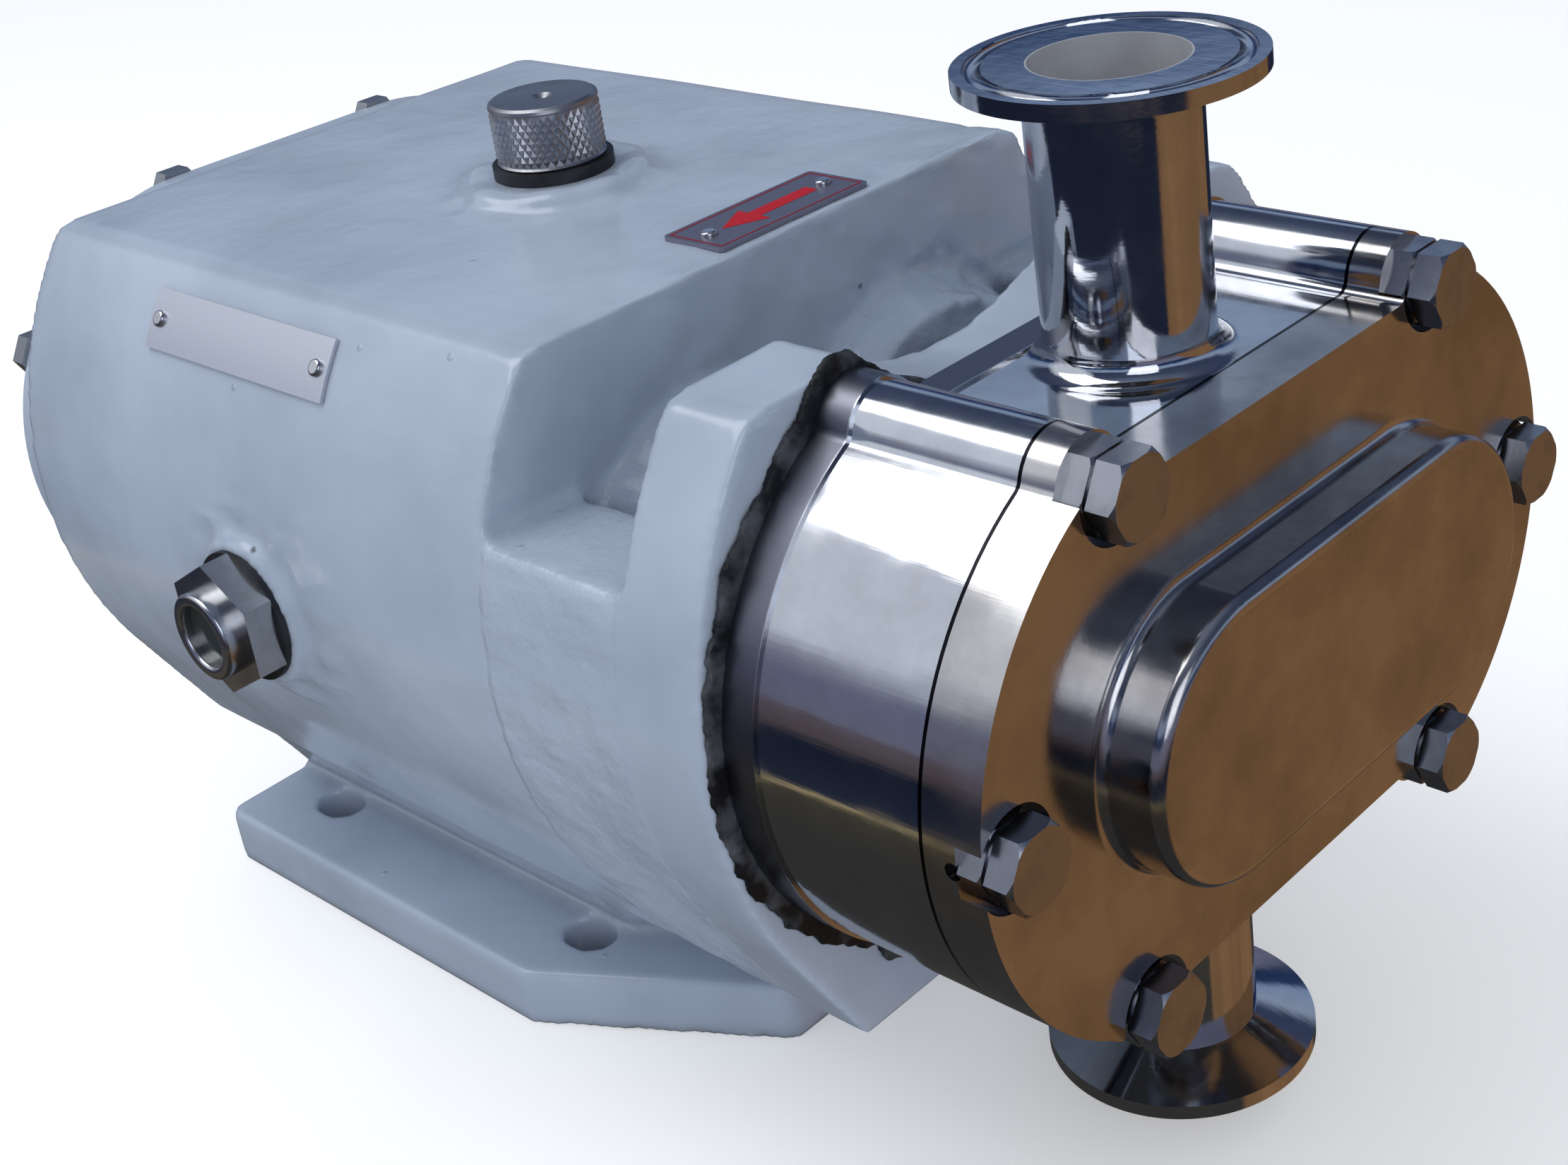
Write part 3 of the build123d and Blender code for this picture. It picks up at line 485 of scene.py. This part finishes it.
@dataclass(frozen=True)
class SightGlass(Finish):
    """Pressed glass lens over a darker oil space: greenish grey, wet gloss."""

    def build(self) -> bpy.types.Material:
        """Builds the lens."""
        material, tree, shader, coords = self.open()
        shader.inputs["Roughness"].default_value = 0.05
        shader.inputs["IOR"].default_value = 1.5
        shader.inputs["Transmission Weight"].default_value = 0.55
        ripple = add(tree, "TexNoise", {"Vector": coords, "Scale": per_mm(4), "Detail": 1.0})
        bump = add(tree, "Bump", {"Height": ripple.outputs["Fac"], "Strength": 0.1, "Distance": 0.2 * MM})
        tree.links.new(bump.outputs[0], shader.inputs["Normal"])
        return material


class Metal(Enum):
    """Turned and ground steels of the drive, told apart by shade."""

    SHAFT = "#B9BBBE"
    GEAR = "#8D8F93"
    BEARING = "#C4C5C8"
    ROTOR = "#C9CACC"


# ---- the casting ----------------------------------------------------------------------
@dataclass
class Casting:
    """Gear case, lantern, flange and foot: one casting with soft edges and a rough window."""

    grid: float = 1.2 * MM
    soften: int = 5
    faces_kept: float = 0.4
    lump: float = 0.2 * MM
    rough: float = 1.3 * MM
    pad_reach: float = 25.0 * MM
    pad_wave: float = 1.3 * MM
    carrier_foot: float = 35.0 * MM
    carrier_nose: float = 30.2 * MM
    carrier_hole: float = 19.5 * MM
    carrier_length: float = 10.0 * MM
    carrier_root: float = 1.0 * MM
    turns: int = 96
    lump_mm: float = 26.0
    pit_mm: float = 8.0
    pad_mm: float = 9.0
    eye_mm: float = 7.0
    settle: float = 0.6
    flat_margin: float = 0.8 * MM
    nodes: tuple[str, ...] = ("gearbox_housing", "gearbox_foot", "lantern_cradle", "adapter_flange")

    def carrier(self, node: str) -> bmesh.types.BMesh:
        """Tapered ring on the front wall that holds a shaft's oil seal.

        Args:
            node: the bearing that it stands in front of.

        Returns:
            The ring, turned about the shaft's axis.
        """
        low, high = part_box(node)
        centre = (low + high) / 2
        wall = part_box("lantern_cradle")[1].y
        bm = bmesh.new()
        made = bmesh.ops.create_circle(bm, segments=self.turns, radius=self.carrier_hole)
        rings = bm.edges[:]
        profile = ((self.carrier_hole, -self.carrier_length), (self.carrier_nose, -self.carrier_length),
                   (self.carrier_foot, self.carrier_root), (self.carrier_hole, self.carrier_root))
        bmesh.ops.translate(bm, verts=made["verts"], vec=(0, 0, -self.carrier_root))
        for reach, along in profile:
            out = bmesh.ops.extrude_edge_only(bm, edges=rings)["geom"]
            rings = [g for g in out if isinstance(g, bmesh.types.BMEdge)]
            for vert in (g for g in out if isinstance(g, bmesh.types.BMVert)):
                side = Vector((vert.co.x, vert.co.y, 0)).normalized() * reach
                vert.co = Vector((side.x, side.y, -along))
        bmesh.ops.remove_doubles(bm, verts=bm.verts, dist=1e-6)
        bmesh.ops.rotate(bm, verts=bm.verts, cent=(0, 0, 0), matrix=Matrix.Rotation(math.radians(90), 3,
                                                                                    "X"))
        bmesh.ops.translate(bm, verts=bm.verts, vec=(centre.x, wall, centre.z))
        bmesh.ops.recalc_face_normals(bm, faces=bm.faces)
        return bm

    def build(self, enamel: bpy.types.Material) -> bpy.types.Object:
        """Casts the four frame pieces as one skin.

        Args:
            enamel: the casting's paint.

        Returns:
            The skin, which stands for the four nodes.
        """
        parts = [blank(merged(node), f"blank_{node}") for node in self.nodes]
        parts += [blank(self.carrier(f"{side}_front_bearing"), f"blank_{side}") for side in ("drive",
                                                                                             "driven")]
        core = parts[0]
        for other in parts[1:]:
            join = core.modifiers.new("join", "BOOLEAN")
            join.operation = "UNION"
            join.solver = "EXACT"
            join.object = other
        mould = core.modifiers.new("mould", "REMESH")
        mould.mode = "VOXEL"
        mould.voxel_size = self.grid
        ease = core.modifiers.new("ease", "SMOOTH")
        ease.factor = 0.5
        ease.iterations = self.soften
        thin = core.modifiers.new("thin", "DECIMATE")
        thin.ratio = self.faces_kept
        bm = applied(*parts)
        self.sculpt(bm)
        bmesh.ops.recalc_face_normals(bm, faces=bm.faces)
        return place(bm, "cast_body", "pump_body", enamel, self.nodes, sharp_deg=75)

    def sculpt(self, bm: bmesh.types.BMesh) -> None:
        """Moves the skin by the mould's unevenness, more inside the window and round the filler."""
        low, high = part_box("lantern_cradle")
        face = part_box("adapter_flange")[0].y
        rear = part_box("gearbox_housing")[1].y
        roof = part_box("filler_cap_seal")[0].z
        hub = (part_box("filler_cap_seal")[0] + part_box("filler_cap_seal")[1]) / 2
        eye = (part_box("sight_glass_gasket")[0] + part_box("sight_glass_gasket")[1]) / 2
        seal = (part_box("filler_cap_seal")[1].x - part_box("filler_cap_seal")[0].x) / 2
        rim = (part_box("sight_glass_gasket")[1].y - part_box("sight_glass_gasket")[0].y) / 2
        for vert in bm.verts:
            spot = vert.co
            depth = self.lump * (noise.noise(spot * per_mm(self.lump_mm)) - self.settle)
            if low.y - 3 * MM < spot.y < high.y + 12 * MM and low.z < spot.z:
                deep = 1.0 if low.y < spot.y < high.y + 1 * MM else 0.35
                wild = 1.0 + 1.6 * max(0.0, min(1.0, spot.x / (45 * MM)))
                depth += deep * wild * self.rough * 0.4 * noise.fractal(spot * per_mm(self.pit_mm), 0.9, 2.1,
                                                                        3)
            out = math.hypot(spot.x - hub.x, spot.y - hub.y)
            if spot.z > roof - 5 * MM and seal + 0.6 * MM < out < self.pad_reach:
                fade = math.sin(math.pi * (out - seal) / (self.pad_reach - seal))
                depth += fade * self.pad_wave * (0.35 + noise.noise(spot * per_mm(self.pad_mm)))
            ring = math.hypot(spot.y - eye.y, spot.z - eye.z)
            if spot.x < eye.x + 12 * MM and rim < ring < rim + 9 * MM:
                depth += self.pad_wave * 0.5 * (0.5 + noise.noise(spot * per_mm(self.eye_mm)))
            machined = abs(spot.y - face) < self.flat_margin or abs(spot.y - rear) < self.flat_margin
            if spot.z >= 0.5 * MM and not machined:
                vert.co = spot + vert.normal * depth


# ---- pump head ------------------------------------------------------------------------
@dataclass
class PumpHead:
    """Case, cover, ports and the long bolts."""

    bore_edge: float = 13.3 * MM
    bead_grid: float = 0.7 * MM
    bead_wave: float = 1.1 * MM
    bead_skin: float = 0.25 * MM
    ragged_mm: float = 6.0
    skin_mm: float = 2.0
    band: float = 7.0

    def bead(self, paste: bpy.types.Material) -> bpy.types.Object:
        """Squeezes the joint paste out from between case and flange, with a ragged edge.
        Its black is partly real paste and partly painted shade, standing for the shade in that gap.

        Args:
            paste: its finish.

        Returns:
            The bead, which stands for the frame's flat gasket.
        """
        flat = blank(merged("adapter_gasket"), "blank_gasket")
        mould = flat.modifiers.new("mould", "REMESH")
        mould.mode = "VOXEL"
        mould.voxel_size = self.bead_grid
        bm = applied(flat)
        low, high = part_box("adapter_gasket")
        centre = (low + high) / 2
        for vert in bm.verts:
            spot = vert.co
            side = Vector((spot.x - centre.x, 0, spot.z - centre.z)).normalized()
            ragged = noise.fractal(spot * per_mm(self.ragged_mm), 0.8, 2.0, 4)
            skin = vert.normal * self.bead_skin * noise.noise(spot * per_mm(self.skin_mm))
            vert.co = spot + side * self.bead_wave * ragged + skin
        bmesh.ops.recalc_face_normals(bm, faces=bm.faces)
        return place(bm, "joint_paste_and_shade_bead", "pump_body", paste, ("adapter_gasket",))

    def build(self) -> None:
        """Dresses the head."""
        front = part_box("front_cover")[0].y / MM
        case_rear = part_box("pump_case")[1].y / MM
        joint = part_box("pump_case")[0].y / MM
        low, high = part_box("top_port")
        bore = ((low.x + high.x) / 2 / MM, (low.y + high.y) / 2 / MM, self.bore_edge / MM)
        steel = PolishedStainless("buffed_stainless_case", "#C6C9CE", wave=0.22,
                                  satin_from_mm=case_rear - self.band,
                                  satin_to_mm=case_rear + 1, joint_mm=joint).build()
        face = PolishedStainless("buffed_stainless_cover", "#C4C2C0", roughness=0.12, wave=0.25, mottle=0.4,
                                 joint_mm=joint).build()
        tube = PolishedStainless("buffed_stainless_tube", "#C8CACE", roughness=0.06, wave_mm=9.0,
                                 bore_mm=bore).build()
        hexes = TurnedSteel("stainless_hexagon", "#A9ABB0", roughness=0.24).build()
        dress("pump_case", steel)
        dress("front_cover", face)
        dress("top_port", tube)
        dress("bottom_port", tube)
        for node in ("cover_bolts", "cover_lock_nuts"):
            dress(node, hexes)
        LOG.info("head dressed, cover front at %.1f mm", front)


# ---- filler cap -----------------------------------------------------------------------
@dataclass
class FillerCap:
    """Knurled plug with its rubber ring; it unscrews and lifts."""

    teeth: int = 20
    rows: int = 4
    knurl_depth: float = 0.5 * MM
    rim: float = 1.5 * MM
    low_rim: float = 0.9 * MM
    stem_radius: float = 8.0 * MM
    edge: float = 0.9 * MM

    def build(self, steel: bpy.types.Material) -> bpy.types.Object:
        """Turns and knurls the cap.

        Args:
            steel: its finish.

        Returns:
            The cap, which stands for the frame's plug.
        """
        low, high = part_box("filler_cap")
        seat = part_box("filler_cap_seal")[1].z
        centre = (low + high) / 2
        radius = (high.x - low.x) / 2
        bm = bmesh.new()
        wall = seat + self.low_rim
        top = high.z - self.rim
        turned = bmesh.ops.create_circle(bm, cap_ends=False, segments=2 * self.teeth,
                                         radius=radius - self.knurl_depth)
        bmesh.ops.translate(bm, verts=turned["verts"], vec=(centre.x, centre.y, wall))
        ring = [e for e in bm.edges]
        band = []
        for _ in range(self.rows):
            out = bmesh.ops.extrude_edge_only(bm, edges=ring)["geom"]
            ring = [g for g in out if isinstance(g, bmesh.types.BMEdge)]
            verts = [g for g in out if isinstance(g, bmesh.types.BMVert)]
            band += [g for g in out if isinstance(g, bmesh.types.BMFace)]
            bmesh.ops.translate(bm, verts=verts, vec=(0, 0, (top - wall) / self.rows))
        # diamonds: cut every panel from its middle, join across the old edges, then raise each one
        old = dict.fromkeys(e for f in band for e in f.edges if len(e.link_faces) == 2)
        bmesh.ops.poke(bm, faces=band, offset=0.0)
        bmesh.ops.dissolve_edges(bm, edges=[e for e in old if e.is_valid], use_verts=False)
        diamonds = [f for f in bm.faces if len(f.verts) == 4]
        peaks = bmesh.ops.poke(bm, faces=diamonds, offset=0.0)["verts"]
        axis = Vector((centre.x, centre.y, 0))
        for vert in peaks:
            out = Vector((vert.co.x, vert.co.y, 0)) - axis
            vert.co += out.normalized() * (radius - out.length)
        self.close(bm, axis, radius, seat, high.z)
        bmesh.ops.recalc_face_normals(bm, faces=bm.faces)
        self.stem(bm, low, seat, centre)
        return place(bm, "knurled_filler_cap", "cap", steel, ("filler_cap",), sharp_deg=20)

    def close(self, bm: bmesh.types.BMesh, axis: Vector, radius: float, seat: float, top: float) -> None:
        """Closes the cap with a turned lower rim, a chamfered top rim and a dished face."""
        rims = [e for e in bm.edges if len(e.link_faces) == 1]
        level = sum(e.verts[0].co.z for e in rims) / len(rims)
        upper = [e for e in rims if e.verts[0].co.z > level]
        lower = [e for e in rims if e.verts[0].co.z <= level]
        edge = self.edge
        for ring, steps in ((upper, ((radius - 0.05 * MM, top - 1.1 * MM),
                                     (radius - 0.2 * MM, top - 0.45 * MM),
                                     (radius - edge, top), (radius - edge - 1.2 * MM, top),
                                     (radius - edge - 2.0 * MM, top - 0.12 * MM),
                                     (2.2 * MM, top - 0.12 * MM),
                                     (0.8 * MM, top - 1.0 * MM))),
                            (lower, ((radius - 0.1 * MM, seat + 0.5 * MM), (radius - 0.5 * MM, seat)))):
            for reach, height in steps:
                out = bmesh.ops.extrude_edge_only(bm, edges=ring)["geom"]
                ring = [g for g in out if isinstance(g, bmesh.types.BMEdge)]
                for vert in (g for g in out if isinstance(g, bmesh.types.BMVert)):
                    side = Vector((vert.co.x, vert.co.y, 0)) - axis
                    place_at = axis + side.normalized() * reach
                    vert.co = Vector((place_at.x, place_at.y, height))
            bmesh.ops.contextual_create(bm, geom=ring)

    def stem(self, bm: bmesh.types.BMesh, low: Vector, seat: float, centre: Vector) -> None:
        """Adds the cap's threaded stem as a plain cylinder with a bevelled tip."""
        length = seat - low.z
        made = bmesh.ops.create_cone(bm, cap_ends=True, segments=40, radius1=self.stem_radius,
                                     radius2=self.stem_radius, depth=length)
        bmesh.ops.translate(bm, verts=made["verts"], vec=(centre.x, centre.y, low.z + length / 2))
        tip = [e for e in bm.edges if all(v in made["verts"] for v in e.verts) and
               all(abs(v.co.z - low.z) < 1e-6 for v in e.verts)]
        bmesh.ops.bevel(bm, geom=tip, offset=1.0 * MM, segments=2, profile=0.5, affect="EDGES", material=-1)


# ---- plates ---------------------------------------------------------------------------
@dataclass
class Plates:
    """Direction plate with a red arrow and a thin border, and the bare name plate."""

    border: float = 0.9 * MM
    line: float = 0.55 * MM
    ink: float = 0.06 * MM
    head: float = 8.6 * MM
    head_half: float = 4.4 * MM
    bar_half: float = 1.7 * MM
    reach: float = 12.2 * MM

    def arrow(self, red: bpy.types.Material) -> bpy.types.Object:
        """Prints the arrow, which points along -X.

        Args:
            red: the ink.

        Returns:
            The arrow's thin piece.
        """
        low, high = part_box("arrow_plate")
        centre = (low + high) / 2
        bm = bmesh.new()
        tip = centre.x - self.reach
        tail = centre.x + self.reach
        corner = [(tip, 0), (tip + self.head, -self.head_half), (tip + self.head, -self.bar_half),
                  (tail, -self.bar_half), (tail, self.bar_half), (tip + self.head, self.bar_half),
                  (tip + self.head, self.head_half)]
        verts = [bmesh.ops.create_vert(bm, co=(x, centre.y + y, high.z))["vert"][0] for x, y in corner]
        face = bm.faces.new(verts)
        out = bmesh.ops.extrude_face_region(bm, geom=[face])["geom"]
        bmesh.ops.translate(bm, verts=[g for g in out if isinstance(g, bmesh.types.BMVert)],
                            vec=(0, 0, self.ink))
        bmesh.ops.recalc_face_normals(bm, faces=bm.faces)
        return place(bm, "direction_arrow", "pump_body", red)

    def frame_line(self, dark: bpy.types.Material) -> bpy.types.Object:
        """Prints the thin border line on the direction plate."""
        low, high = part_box("arrow_plate")
        centre = (low + high) / 2
        bm = bmesh.new()
        made = bmesh.ops.create_grid(bm, x_segments=1, y_segments=1, size=0.5)
        bmesh.ops.scale(bm, verts=made["verts"], vec=(high.x - low.x - 2 * self.border,
                                                      high.y - low.y - 2 * self.border, 1))
        bmesh.ops.translate(bm, verts=made["verts"], vec=(centre.x, centre.y, high.z))
        inner = bmesh.ops.inset_region(bm, faces=bm.faces[:], thickness=self.line, use_boundary=True)
        inside = [f for f in bm.faces if f not in inner["faces"]]
        bmesh.ops.delete(bm, geom=inside, context="FACES")
        out = bmesh.ops.extrude_face_region(bm, geom=bm.faces[:])["geom"]
        bmesh.ops.translate(bm, verts=[g for g in out if isinstance(g, bmesh.types.BMVert)],
                            vec=(0, 0, self.ink))
        bmesh.ops.recalc_face_normals(bm, faces=bm.faces)
        return place(bm, "direction_border", "pump_body", dark)

    def build(self) -> None:
        """Dresses both plates and prints the arrow."""
        dress("arrow_plate", RolledAluminium("anodised_aluminium_grey", "#8E8D9C").build())
        dress("name_plate", RolledAluminium("anodised_aluminium_silver", "#CFD2DA").build())
        self.arrow(ScreenInk("screen_ink_red", "#B90A16").build())
        self.frame_line(ScreenInk("screen_ink_oxblood", "#8A1E2C").build())
        rivets = PolishedStainless("nickel_rivet", "#C9CACC", roughness=0.12, wave=0.02).build()
        dress("arrow_plate_rivets", rivets)
        dress("name_plate_rivets", rivets)


# ---- studio ---------------------------------------------------------------------------
@dataclass
class Studio:
    """Pale floor, soft light, things for the mirror steel to reflect, and the camera."""

    eye: tuple[float, float, float] = (-0.27397, -0.37738, 0.30001)
    azimuth: float = -44.66
    elevation: float = 24.63
    roll: float = -7.39
    lens: float = 52.04
    shift_x: float = -0.0541
    shift_y: float = -0.0901
    floor_lift: float = 0.3
    floor_size: float = 6.0
    aim: tuple[float, float, float] = (0.0, -0.04, 0.1)
    tent_radius: float = 2.4
    bands: tuple[tuple[float, str], ...] = (
        (-1.0, "#3A3A3C"), (-0.62, "#3F3E3C"), (-0.47, "#4A463C"), (-0.445, "#B9A67E"), (-0.425, "#2A3144"),
        (-0.2, "#1D2538"), (-0.16, "#5E5558"), (-0.06, "#6A6068"), (-0.04, "#7B7C93"), (0.18, "#787D98"),
        (0.2, "#24345A"), (0.33, "#2B3F68"), (0.37, "#8CA3C6"), (0.48, "#A4B4CE"), (0.56, "#3C4866"),
        (0.8, "#4A556E"), (1.0, "#7C879C"))
    window_way: tuple[float, float, float] = (-0.52, 0.6, 0.6)
    window_edge: float = 0.9
    lit: str = "#EEF4FF"
    board_way: tuple[float, float, float] = (0.64, -0.66, -0.39)
    board_edge: float = 0.72
    board_dark: str = "#6A4C34"
    board_pale: str = "#A9825C"

    def camera(self) -> None:
        """Sets the camera at the viewing angle."""
        az, el, ro = (math.radians(a) for a in (self.azimuth, self.elevation, self.roll))
        ahead = Vector((-math.sin(az) * math.cos(el), math.cos(az) * math.cos(el), -math.sin(el)))
        right = ahead.cross(Vector((0, 0, 1))).normalized()
        up = right.cross(ahead)
        right, up = (math.cos(ro) * right + math.sin(ro) * up, -math.sin(ro) * right + math.cos(ro) * up)
        data = bpy.data.cameras.new("view")
        data.sensor_width = 36.0
        data.sensor_fit = "HORIZONTAL"
        data.lens = self.lens
        data.shift_x, data.shift_y = self.shift_x, self.shift_y
        data.clip_start, data.clip_end = 0.01, 50.0
        eye = bpy.data.objects.new("view", data)
        turn = Matrix((right, up, -ahead)).transposed().to_4x4()
        eye.matrix_world = Matrix.Translation(Vector(self.eye)) @ turn
        bpy.context.scene.collection.objects.link(eye)
        bpy.context.scene.camera = eye

    def floor(self) -> None:
        """Lays the pale floor, which shows as white and keeps the shadow."""
        bm = bmesh.new()
        bmesh.ops.create_grid(bm, x_segments=1, y_segments=1, size=self.floor_size)
        mesh = bpy.data.meshes.new("floor")
        bm.to_mesh(mesh)
        bm.free()
        floor = bpy.data.objects.new("floor", mesh)
        bpy.context.scene.collection.objects.link(floor)
        material = bpy.data.materials.new("studio_floor")
        material.use_nodes = True
        tree = material.node_tree
        shader = tree.nodes["Principled BSDF"]
        shader.inputs["Base Color"].default_value = linear("#F2F2F2")
        shader.inputs["Roughness"].default_value = 0.9
        shader.inputs["Specular IOR Level"].default_value = 0.1
        path = add(tree, "LightPath")
        lift = add(tree, "Math", {0: path.outputs["Is Camera Ray"], 1: self.floor_lift},
                   operation="MULTIPLY")
        glow = add(tree, "Emission", {"Color": linear("#FFFFFF"), "Strength": lift.outputs[0]})
        both = add(tree, "AddShader", {0: shader.outputs[0], 1: glow.outputs[0]})
        tree.links.new(both.outputs[0], tree.nodes["Material Output"].inputs["Surface"])
        mesh.materials.append(material)
        floor.visible_glossy = False

    def tent(self) -> None:
        """Hangs a round tent, seen by mirror steel alone, with the bands of a dim workshop."""
        bm = bmesh.new()
        bmesh.ops.create_uvsphere(bm, u_segments=64, v_segments=32, radius=self.tent_radius)
        bmesh.ops.reverse_faces(bm, faces=bm.faces)
        mesh = bpy.data.meshes.new("tent")
        bm.to_mesh(mesh)
        bm.free()
        material = bpy.data.materials.new("tent_cloth")
        material.use_nodes = True
        tree = material.node_tree
        tree.nodes.remove(tree.nodes["Principled BSDF"])
        coords = add(tree, "TexCoord").outputs["Object"]
        way = add(tree, "VectorMath", {0: coords}, operation="NORMALIZE").outputs[0]
        axes = add(tree, "SeparateXYZ", {0: way})
        drift = add(tree, "TexNoise", {"Vector": way, "Scale": 2.2, "Detail": 3.0})
        level = add(tree, "Math", {0: drift.outputs["Fac"], 1: 0.12, 2: -0.06}, operation="MULTIPLY_ADD")
        level = add(tree, "Math", {0: axes.outputs["Z"], 1: level.outputs[0]}, operation="ADD")
        level = add(tree, "MapRange", {"Value": level.outputs[0], "From Min": -1.0, "From Max": 1.0})
        ramp = add(tree, "ValToRGB", {0: level.outputs[0]})
        stops = ramp.color_ramp.elements
        stops[0].position, stops[0].color = 0.0, linear(self.bands[0][1])
        stops[1].position, stops[1].color = 1.0, linear(self.bands[-1][1])
        for height, colour in self.bands[1:-1]:
            stops.new((height + 1) / 2).color = linear(colour)
        streak = add(tree, "TexNoise", {"Vector": way, "Scale": 9.0, "Detail": 4.0})
        facing = add(tree, "VectorMath", {0: way, 1: self.window_way}, operation="DOT_PRODUCT")
        facing = add(tree, "Math", {0: streak.outputs["Fac"], 1: 0.1, 2: facing.outputs["Value"]},
                     operation="MULTIPLY_ADD")
        shine = add(tree, "MapRange", {"Value": facing.outputs[0], "From Min": self.window_edge,
                                       "From Max": self.window_edge + 0.08})
        room = add(tree, "Mix", {0: shine.outputs[0], 6: ramp.outputs[0], 7: linear(self.lit)},
                   data_type="RGBA")
        patch = add(tree, "TexNoise", {"Vector": way, "Scale": 3.5, "Detail": 5.0})
        board = add(tree, "Mix", {0: patch.outputs["Fac"], 6: linear(self.board_dark),
                                  7: linear(self.board_pale)}, data_type="RGBA")
        aim = add(tree, "VectorMath", {0: way, 1: self.board_way}, operation="DOT_PRODUCT")
        near = add(tree, "MapRange", {"Value": aim.outputs["Value"], "From Min": self.board_edge,
                                      "From Max": self.board_edge + 0.03})
        colour = add(tree, "Mix", {0: near.outputs[0], 6: room.outputs[2], 7: board.outputs[2]},
                     data_type="RGBA")
        glow = add(tree, "Emission", {"Color": colour.outputs[2], "Strength": 1.0})
        tree.links.new(glow.outputs[0], tree.nodes["Material Output"].inputs["Surface"])
        mesh.materials.append(material)
        tent = bpy.data.objects.new("tent", mesh)
        bpy.context.scene.collection.objects.link(tent)
        tent.visible_camera = False
        tent.visible_diffuse = False
        tent.visible_shadow = False
        tent.visible_transmission = False

    def sky(self) -> None:
        """White for the eye, the steel and the glass; a soft even light for everything else."""
        world = bpy.data.worlds.new("studio")
        bpy.context.scene.world = world
        world.use_nodes = True
        tree = world.node_tree
        tree.nodes.clear()
        path = add(tree, "LightPath")
        seen = add(tree, "Math", {0: path.outputs["Is Camera Ray"], 1: path.outputs["Is Glossy Ray"]},
                   operation="MAXIMUM")
        seen = add(tree, "Math", {0: seen.outputs[0], 1: path.outputs["Is Transmission Ray"]},
                   operation="MAXIMUM")
        plain = add(tree, "Background", {"Color": linear("#FFFFFF"), "Strength": 1.0})
        soft = add(tree, "Background", {"Color": linear("#EEF3FA"), "Strength": 0.6})
        mixed = add(tree, "MixShader", {0: seen.outputs[0], 1: soft.outputs[0], 2: plain.outputs[0]})
        add(tree, "OutputWorld", {"Surface": mixed.outputs[0]})

    def lamp(self, name: str, at: tuple[float, float, float], size: float, power: float,
             colour: str) -> None:
        """Hangs a soft box that faces the pump.

        Args:
            name: the lamp's name.
            at: where it hangs.
            size: width of its square face.
            power: watts.
            colour: its colour.
        """
        data = bpy.data.lights.new(name, "AREA")
        data.shape = "SQUARE"
        data.size = size
        data.energy = power
        data.color = linear(colour)[:3]
        lamp = bpy.data.objects.new(name, data)
        aim = Vector(self.aim) - Vector(at)
        lamp.matrix_world = Matrix.Translation(Vector(at)) @ aim.to_track_quat("-Z",
                                                                               "Y").to_matrix().to_4x4()
        bpy.context.scene.collection.objects.link(lamp)

    def build(self) -> None:
        """Sets the stage."""
        self.camera()
        self.floor()
        self.sky()
        self.lamp("key_box", (-0.5, 0.5, 1.5), 1.1, 10.0, "#FFFFFF")
        self.lamp("front_box", (-0.9, -1.3, 0.9), 1.0, 5.0, "#F4F7FF")
        self.tent()


def main() -> None:
    """Builds the pump and reports each piece."""
    logging.basicConfig(level=logging.INFO, format="%(name)s: %(message)s")
    low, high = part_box("lantern_cradle")
    # painted sky light: the blue in this enamel colour and in its second tone is the blue tint of the sky
    # light
    enamel = CastEnamel("enamelled_casting", "#B0BCCE", rough_from_mm=low.y / MM, rough_to_mm=high.y / MM,
                        rough_above_mm=40.0).build()
    Casting().build(enamel)
    dress("rear_cover", enamel)
    PumpHead().build()
    FillerCap().build(TurnedSteel("knurled_steel", "#A8A9AC", roughness=0.32, line=0.04).build())
    Plates().build()
    paste = Elastomer("joint_paste", "#121316", bloom="#5C6068", skin_mm=2.0, skin=0.8).build()
    # the bead is partly painted shade: its black also fills the shaded gap between case and flange
    PumpHead().bead(paste)
    rubber = Elastomer("moulded_nitrile", "#1B1D22").build()
    dress("rear_cover_gasket", paste)
    for node in ("filler_cap_seal", "sight_glass_gasket", "rear_oil_seal", "cover_seal",
                 "drive_front_oil_seal",
                 "driven_front_oil_seal"):
        dress(node, rubber)
    zinc = TurnedSteel("zinc_plated_steel", "#A3A6A8", roughness=0.34).build()
    for node in ("rear_cover_bolts", "drain_plug"):
        dress(node, zinc)
    dress("sight_glass_body", TurnedSteel("nickel_plated_brass", "#BEBFC1", roughness=0.2,
                                          line=0.05).build())
    dress("sight_glass_lens", SightGlass("pressed_glass", "#4A504E").build())
    shafts = TurnedSteel("ground_shaft_steel", Metal.SHAFT.value, roughness=0.2).build()
    gears = TurnedSteel("hobbed_gear_steel", Metal.GEAR.value, roughness=0.35).build()
    races = TurnedSteel("bearing_steel", Metal.BEARING.value, roughness=0.18).build()
    rotors = TurnedSteel("rotor_stainless", Metal.ROTOR.value, roughness=0.2).build()
    carbon = Elastomer("carbon_seal_face", "#222326", roughness=0.4, skin=0.05).build()
    for side in ("drive", "driven"):
        for part in ("shaft", "gear_key", "gear_nut", "shaft_seal_collar", "shaft_seal_ring"):
            dress(f"{side}_{part}", shafts)
        dress(f"{side}_gear", gears)
        dress(f"{side}_rotor", rotors)
        dress(f"{side}_rotor_nut", shafts)
        for part in ("front_bearing", "rear_bearing"):
            dress(f"{side}_{part}", races)
        dress(f"{side}_shaft_seal_seat", carbon)
    Studio().build()
    bpy.context.scene.view_settings.view_transform = "Standard"


if __name__ == "__main__":
    main()
